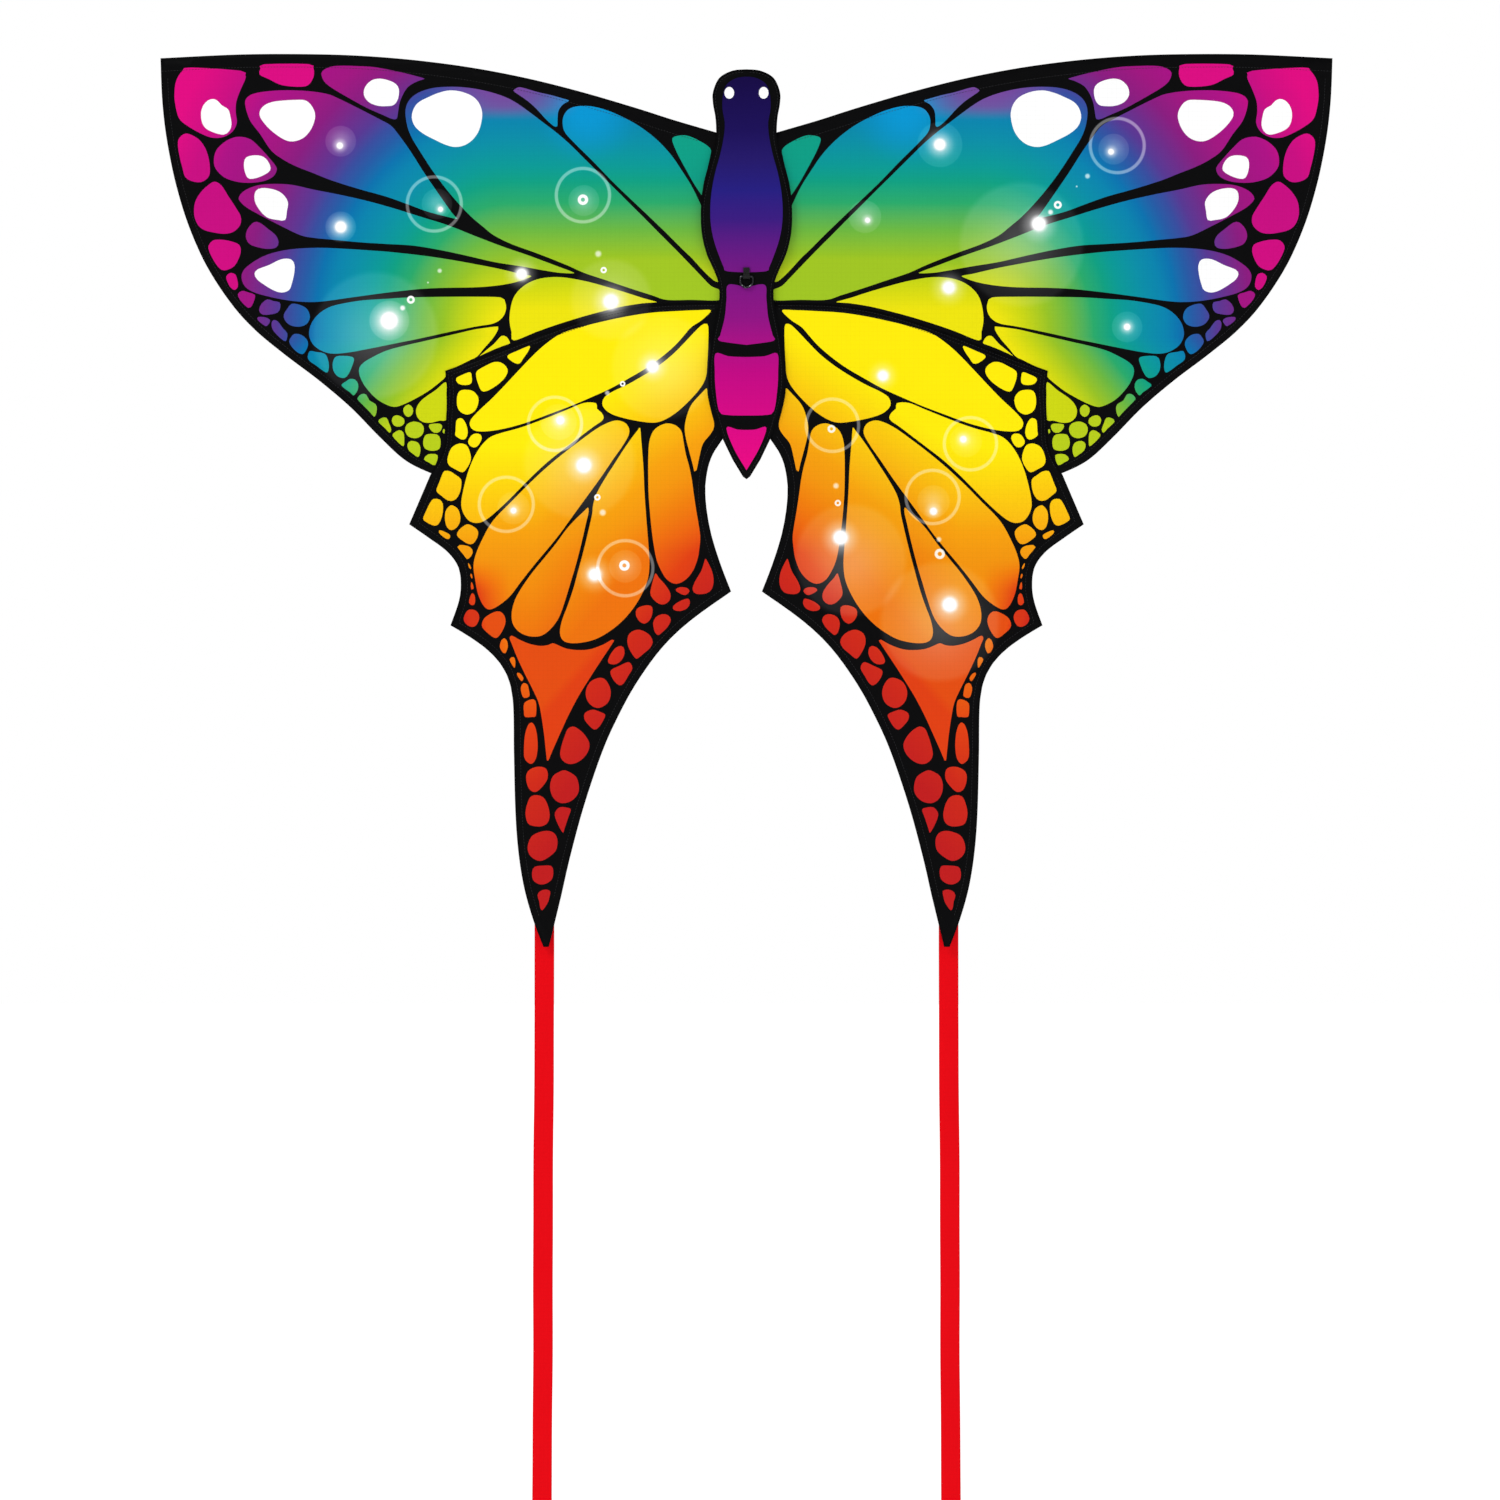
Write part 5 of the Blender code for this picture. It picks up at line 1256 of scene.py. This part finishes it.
def patches(side, name):
    tip = [(647, 249), (604, 250.5), (641, 205)]
    patch("wingtip_patch", tip, side, name)
    back_stitches(f"{name}_wingtip_stitches", [[(643.5, 246.5), (611, 247.6)], [(611, 247.6), (639, 212.5)],
                                               [(639, 212.5), (643.5, 246.5)], [(627, 247), (640, 229)]],
                  side, 4.75, f"{name}_wing")
    outer = [(x - 2, z) for x, z in smooth(TAIL_OUTER, 16) if -728 < z < -690]
    inner = [(x + 2, z) for x, z in smooth(TAIL_INNER, 16) if -728 < z < -690]
    patch("tail_tip_patch", [(238, -688), *outer, (222, -732), *inner, (211, -688)], side, name)


def strap(name, loops, place, wide, material, rounding=0.12):
    """A bar of one closed section; place turns (section x, section y, across) into a point."""
    outer = turned_left(loops[0])
    hole = turned_left(loops[1]) if len(loops) > 1 else []
    loop_points = [Vector(p) for p in outer + hole]
    count = len(outer)
    edges = [(i, (i + 1) % count) for i in range(count)]
    edges += [(count + i, count + (i + 1) % len(hole)) for i in range(len(hole))]
    faces = [list(range(count))] + ([list(range(count, count + len(hole)))] if hole else [])
    made = geometry.delaunay_2d_cdt(loop_points, edges, faces, 1, 1e-6, True)
    flat = [t for t, source in zip(made[2], made[5]) if 0 in source and 1 not in source]
    lanes = [-wide / 2, -wide / 2 + rounding, -wide / 6, wide / 6, wide / 2 - rounding, wide / 2]
    vertices, found = [], []
    total = len(made[0])
    for lane in lanes:
        vertices += [place(p.x, p.y, lane) for p in made[0]]
    sides = {}
    for t in flat:
        for a, b in zip(t, t[1:] + t[:1]):
            sides[(a, b)] = True
    rim = [(a, b) for a, b in sides if (b, a) not in sides]
    for t in flat:
        found.append(tuple(t))
        found.append(tuple((len(lanes) - 1) * total + i for i in reversed(t)))
    for k in range(len(lanes) - 1):
        for a, b in rim:
            found.append((k * total + a, (k + 1) * total + a, (k + 1) * total + b, k * total + b))
    obj = piece(name, vertices, found, material, smooth_faces=False)
    work = bmesh.new()
    work.from_mesh(obj.data)
    loose = [v for v in work.verts if not v.link_faces]
    bmesh.ops.delete(work, geom=loose, context="VERTS")
    bmesh.ops.recalc_face_normals(work, faces=work.faces)
    work.to_mesh(obj.data)
    work.free()
    return obj


def spar_points():
    """The lower spar's line, from its socket to its tip."""
    return smooth(LOWER_SPAR_BEND, 12)


def keepers(side, name):
    """Cloth loops that hold the lower spar to the sail."""
    path = spar_points()
    inner_r, wall, wide, foot = 2.6, 0.5, 16.0, 4.5
    back = LOWER_BACK + 0.3
    for number, height in enumerate((-270, -560), 1):
        below = next(i for i, p in enumerate(path) if p[1] < height)
        a, b = Vector(path[below - 1]), Vector(path[below])
        at = a + (b - a) * ((height - a.y) / (b.y - a.y))
        way = (b - a).normalized()
        rise = arc((0, 0), inner_r + wall, 0, 180, 20)
        under = arc((0, 0), inner_r, 180, 0, 20)
        left, right = -inner_r - wall - foot, inner_r + wall + foot
        loop = [(right, back), (right, back + wall), (inner_r + wall + 0.6, back + wall),
                (inner_r + wall, back + wall + 0.6), *rise,
                (-inner_r - wall, back + wall + 0.6), (-inner_r - wall - 0.6, back + wall),
                (left, back + wall), (left, back), (-inner_r, back), *under, (inner_r, back)]

        def place(u, v, w):
            spot = at + Vector((way.y, -way.x)) * -u + way * w
            lies_on_sail = v < back + wall + 0.1
            return (on_sail if lies_on_sail else on_wing)(side, spot.x, v, spot.y)

        obj = strap(f"{name}_keeper_{number}", [loop], place, wide, TAPE)
        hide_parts(f"{name}_spar_keeper_{number}")
        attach(obj, f"{name}_wing")
        runs = []
        for u in (left + 1.8, right - 1.8):
            ends = [at + Vector((way.y, -way.x)) * -u + way * w for w in (-6.5, 6.5)]
            runs.append([tuple(p) for p in ends])
        back_stitches(f"{name}_keeper_stitches_{number}", runs, side, back + wall + 0.12, f"{name}_wing")


def neck(label, height, way, start, end, side, name):
    """The soft ribbed bend between a connector's arm and a spar's socket."""
    def at(distance):
        x, z = way[0] * distance, height + way[1] * distance
        if x <= FOLD_X:
            return Vector((side * x, AXIS_Y, z))
        return on_wing(side, x, 0, z)

    count = max(12, round((end - start) / 0.35))
    path = [at(start + 0.1 + (end - start - 0.2) * i / count) for i in range(count + 1)]
    radii = [2.62 + 0.38 * math.cos(2 * math.pi * i / 5) for i in range(count + 1)]
    obj = tube(f"{name}_{label}_bellows", path, radii, VINYL, sides=24)
    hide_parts(f"{name}_{label}")
    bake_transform(obj)


# ---- Ribbon tails ----------------------------------------------------------------------------------
TAIL_LEAN = math.radians(1.6)
TAIL_WIDE = 22.0
TAIL_DROP = 650.0
TAIL_SEWN = 54.0
TAIL_LONG = 2500.0
ROLL_BACK = 20.2
ROLL_R = 19.35
ROLL_CORE_R = 4.9


def tail_place(side):
    """Turns a point of the tail's own frame, hinge at its origin, into the row frame."""
    wing = Matrix.Translation((side * FOLD_X, AXIS_Y, 0)) @ Matrix.Rotation(side * DIHEDRAL, 4, "Z")
    hinge = Matrix.Translation((side * TAIL_MIDDLE, TAIL_BACK, TAIL_TOP))
    return wing @ hinge @ Matrix.Rotation(-TAIL_LEAN, 4, "X")


def ribbon_line():
    """The ribbon's middle line as (back, up), from its sewn end to the end inside its roll."""
    line = [(-TAIL_SEWN * i / 9 * math.tan(TAIL_LEAN), TAIL_SEWN * i / 9) for i in range(9, 0, -1)]
    steps = 90
    for i in range(steps):
        drop = TAIL_DROP * i / steps
        calm = ease(drop / 90) * ease((TAIL_DROP - drop) / 90)
        wave = 1.7 * math.sin(drop / 58) + 0.8 * math.sin(drop / 23 + 1)
        line.append((calm * wave, -drop))
    rolled = TAIL_LONG - TAIL_SEWN - TAIL_DROP
    turns = rolled / (math.pi * (ROLL_R + ROLL_CORE_R))
    count = round(turns * 26)
    for i in range(count + 1):
        turned = turns * i / count
        radius = ROLL_R + (ROLL_CORE_R - ROLL_R) * turned / turns
        radius += (ROLL_BACK - ROLL_R) * (1 - ease(turned / 0.3))
        a = 2 * math.pi * turned
        line.append((ROLL_BACK - radius * math.cos(a), -TAIL_DROP - radius * math.sin(a)))
    return line


def tail(side, name):
    place = tail_place(side)
    line = ribbon_line()
    rails = []
    for i, (back, up) in enumerate(line):
        before, after = line[max(i - 1, 0)], line[min(i + 1, len(line) - 1)]
        along = Vector((0, after[0] - before[0], after[1] - before[1])).normalized()
        twist = 0.0
        if -TAIL_DROP < up < 0:
            twist = 0.055 * math.sin(up / 83 + side) * ease(-up / 90) * ease((up + TAIL_DROP) / 90)
        across = Vector((1, twist, 0)).normalized() * TAIL_WIDE / 2
        normal = across.cross(along).normalized()
        middle = Vector((0, back, up))
        rails.append((place @ (middle - across), place @ (middle + across), place.to_3x3() @ normal))
    obj = ribbon_between(f"{name}_ribbon", rails, 0.17, RIBBON)
    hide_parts(f"{name}_tail_end", f"{name}_tail_ribbon", f"{name}_tail_roll")
    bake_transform(obj)
    half = TAIL_WIDE / 2 - 2.2
    low, high = 6.0, TAIL_SEWN - 5.0
    box = [(-half, low), (half, low), (half, high), (-half, high), (-half, low), (half, high)]
    cross = [(half, low), (-half, high)]
    turn = math.cos(TAIL_LEAN)
    facing = place.to_3x3() @ Vector((0, 1, 0))
    rows = []
    for run in (box, cross):
        rows += [[(place @ Vector((x, 0.24 - z * math.tan(TAIL_LEAN), z * turn)), facing)
                  for x, z in even([a, b], 2.0)] for a, b in zip(run, run[1:])]
    red = stitches(f"{name}_ribbon_stitches", rows, THREAD, pitch=2.8, length=2.1)
    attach(red, f"{name}_wing")
    tie(name, place)


def tie(name, place):
    """A loop of braided elastic through the roll's core and round its back."""
    thick, wide, round_r = 0.8, 4.0, 3.0
    x_in, y_in = TAIL_WIDE / 2 + 0.3, 20.0
    loops = []
    for grow in (thick, 0.0):
        r = round_r + grow
        x, low, high = x_in + grow - r, -grow + r, y_in + grow - r
        loops.append(chain(arc((x, low), r, -90, 0, 6), arc((x, high), r, 0, 90, 6),
                           arc((-x, high), r, 90, 180, 6), arc((-x, low), r, 180, 270, 6)))
    obj = strap(f"{name}_elastic_tie", loops,
                lambda u, v, w: place @ Vector((u, ROLL_BACK + v, -TAIL_DROP + w)), wide, ELASTIC, 0.3)
    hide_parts(f"{name}_roll_tie")
    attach(obj, f"{name}_tail")


# ---- The centre: body, spine pockets and tow tab --------------------------------------------------
def body_cloth():
    half = chain(smooth(BODY_HALF[:-4], 4), BODY_HALF[-4:])
    whole = half + [(-x, z) for x, z in reversed(half[1:-1])]
    cells = {}
    for name, points in BODY_CELLS.items():
        side_run = smooth(points, 4)
        cells[name] = side_run[1:] + [(-x, z) for x, z in reversed(side_run[1:-1])]
    low, high = box_mm("body_panel")
    middle = (low.y + high.y) / 2
    eyes = [[(s * 19 + 5.4 * math.cos(a), 208 + 6.6 * math.sin(a))
             for a in (2 * math.pi * i / 14 for i in range(14))] for s in (-1, 1)]
    points, triangles, inks, _ = cut_body(whole, cells, eyes)
    obj = piece("body_cloth", [(x, middle, z) for x, z in points], triangles, body_print())
    tag(obj, "ink", inks)
    thicken(obj, CLOTH_T)
    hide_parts("body_panel")
    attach(obj, "frame")
    edge = even(inset(half, 3.2), 3.0)
    front, facing = middle - CLOTH_T / 2 - 0.03, Vector((0, -1, 0))
    rows = [[(Vector((s * x, front, z)), facing) for x, z in edge if x > 2] for s in (-1, 1)]
    sewn = stitches("body_stitches", rows, THREAD)
    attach(sewn, "frame")


def cut_body(whole, cells, eyes):
    """The body's panel; its cells are already smooth, so they are cut as they are."""
    loops = [whole, *cells.values(), *eyes]
    kinds = ["black"] + ["colour"] * len(cells) + ["white"] * len(eyes)
    points, edges, faces = [], [], []
    for loop in map(turned_left, loops):
        first, count = len(points), len(loop)
        points += [Vector(p) for p in loop]
        edges += [(first + i, first + (i + 1) % count) for i in range(count)]
        faces.append(list(range(first, first + count)))
    made = geometry.delaunay_2d_cdt(points, edges, faces, 1, 1e-4, True)
    kept, inks = [], []
    for triangle, source in zip(made[2], made[5]):
        found = [kinds[i] for i in source]
        if 0 in source:
            kept.append(tuple(triangle))
            inks.append(2.0 if "white" in found else 1.0 if "colour" in found else 0.0)
    return [tuple(p) for p in made[0]], kept, inks, None


def centre_tape():
    low, high = box_mm("centre_tape")
    middle = (low.y + high.y) / 2
    rails = [(Vector((low.x, middle, z)), Vector((high.x, middle, z)), Vector((0, 1, 0)))
             for _, z in even([(0, low.z), (0, high.z)], 4.0)]
    obj = ribbon_between("centre_tape_cloth", rails, 0.2, TAPE)
    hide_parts("centre_tape")
    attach(obj, "frame")
    run = even([(0, low.z + 2), (0, high.z - 2)], 4)
    rows = [[(Vector((x, middle + 0.24, z)), Vector((0, 1, 0))) for _, z in run]
            for x in (low.x + 1.8, high.x - 1.8)]
    sewn = stitches("centre_tape_stitches", rows, THREAD)
    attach(sewn, "frame")


def pocket(node):
    """A sewn pocket over one end of the spine: a snug cloth cup with a turned hem round its mouth."""
    low, high = box_mm(node)
    radius = (high.x - low.x) / 2
    up = node == "nose_pocket"
    mouth, end = (low.z, high.z) if up else (high.z, low.z)
    way = 1 if up else -1
    deep = abs(end - mouth)
    vertices, faces, sides = [], [], 28
    outer = [(0.0, radius), (0.6, radius + 0.02), (2.8, radius), (3.3, radius - 0.18)]
    outer += [(4 + (deep - 8) * i / 10, radius - 0.16 - 0.06 * (i % 2)) for i in range(11)]
    outer += [(deep - 2.2, radius - 0.35), (deep - 0.9, radius - 1.2), (deep - 0.2, radius - 2.4),
              (deep, radius - 3.6)]
    bore = 3.9
    inner = [(deep - 1.0, 0.6), (deep - 1.2, bore - 0.8), (deep - 2.0, bore), (0.2, bore)]
    profile = [*outer, (deep, 0.4), *inner]
    for at, r in profile:
        for k in range(sides):
            a = 2 * math.pi * k / sides
            vertices.append((r * math.cos(a), AXIS_Y + r * math.sin(a), mouth + way * at))
    total = len(profile)
    for i in range(total):
        j = (i + 1) % total
        if profile[i][0] == deep and profile[j][0] == deep - 1.0:
            continue
        for k in range(sides):
            n = (k + 1) % sides
            faces.append((i * sides + k, i * sides + n, j * sides + n, j * sides + k))
    cap_at = next(i for i, p in enumerate(profile) if p == (deep, 0.4))
    faces.append(tuple(cap_at * sides + k for k in range(sides)))
    faces.append(tuple((cap_at + 1) * sides + k for k in range(sides)))
    obj = tidy_normals(piece(f"{node}_cloth", vertices, faces, WEBBING))
    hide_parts(node)
    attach(obj, "frame")
    ring = [(Vector((radius * math.cos(a), AXIS_Y + radius * math.sin(a), mouth + way * 1.7)),
             Vector((math.cos(a), math.sin(a), 0))) for a in (2 * math.pi * i / 24 for i in range(25))]
    sewn = stitches(f"{node}_stitches", [ring], THREAD, pitch=2.6, length=1.9, radius=0.18)
    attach(sewn, "frame")


def spine_sleeves():
    for node in ("spine_sleeve_middle", "spine_sleeve_lower"):
        low, high = box_mm(node)
        path = [Vector((0.001, AXIS_Y, low.z + (high.z - low.z) * i / 50)) for i in range(51)]
        sleeve(f"{node}_cloth", path, (high.x - low.x) / 2, high.z, "frame", node)


def tow_tab():
    """Webbing round the D ring's bar, sewn flat against the body above it."""
    low, high = box_mm("tow_tab")
    bar_z, eye_r, wall = 5.0, 1.6, 0.8
    outer_r = eye_r + wall
    top, front = high.z, outer_r - 2 * wall
    start = math.degrees(math.atan2(math.sqrt(outer_r**2 - front**2), front))
    loop = arc((0, 0), outer_r, start, 360, 36)
    loop += [(outer_r, top - bar_z - 0.4), (outer_r - 0.3, top - bar_z),
             (front + 0.3, top - bar_z), (front, top - bar_z - 0.4)]
    eye = arc((0, 0), eye_r, 0, 360, 30)[:-1]
    obj = strap("tow_tab_webbing", [loop, eye], lambda u, v, w: Vector((w, u, bar_z + v)),
                high.x - low.x, WEBBING)
    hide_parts("tow_tab")
    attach(obj, "frame")
    half, facing = (high.x - low.x) / 2 - 1.0, Vector((0, -1, 0))
    corners = [(-half, 9.2), (half, 9.2), (half, 14.2), (-half, 14.2), (-half, 9.2), (half, 14.2)]
    runs = list(zip(corners, corners[1:])) + [((half, 9.2), (-half, 14.2))]
    rows = [[(Vector((x, front - 0.04, z)), facing) for x, z in even([a, b], 1.0)] for a, b in runs]
    sewn = stitches("tow_tab_stitches", rows, THREAD, pitch=1.5, length=1.15, radius=0.16)
    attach(sewn, "frame")


UPPER_WAY = (math.cos(math.radians(14.5)), math.sin(math.radians(14.5)))
LOWER_WAY = (math.sin(math.radians(19.7)), -math.cos(math.radians(19.7)))
for side_name, side_sign in SIDES:
    wing_cloth(side_sign, side_name)
    leading_sleeve(side_sign, side_name)
    patches(side_sign, side_name)
    keepers(side_sign, side_name)
    neck("upper_neck", 146.5, UPPER_WAY, 8.2, 16.6, side_sign, side_name)
    neck("lower_neck", -38.0, LOWER_WAY, 30.0, 42.0, side_sign, side_name)
    tail(side_sign, side_name)
    for part in ("upper_spar", "lower_spar"):
        dress(f"{side_name}_{part}", ROD)
    for part in ("upper_spar_cap", "lower_spar_cap", "upper_socket", "lower_socket"):
        dress(f"{side_name}_{part}", VINYL)
body_cloth()
centre_tape()
pocket("nose_pocket")
pocket("body_tip_pocket")
spine_sleeves()
tow_tab()
dress("spine_rod", ROD)
dress("tow_ring", METAL)
for part in ("upper_connector", "lower_connector", "upper_connector_stop", "lower_connector_stop",
             "spine_cap_top", "spine_cap_bottom"):
    dress(part, VINYL)
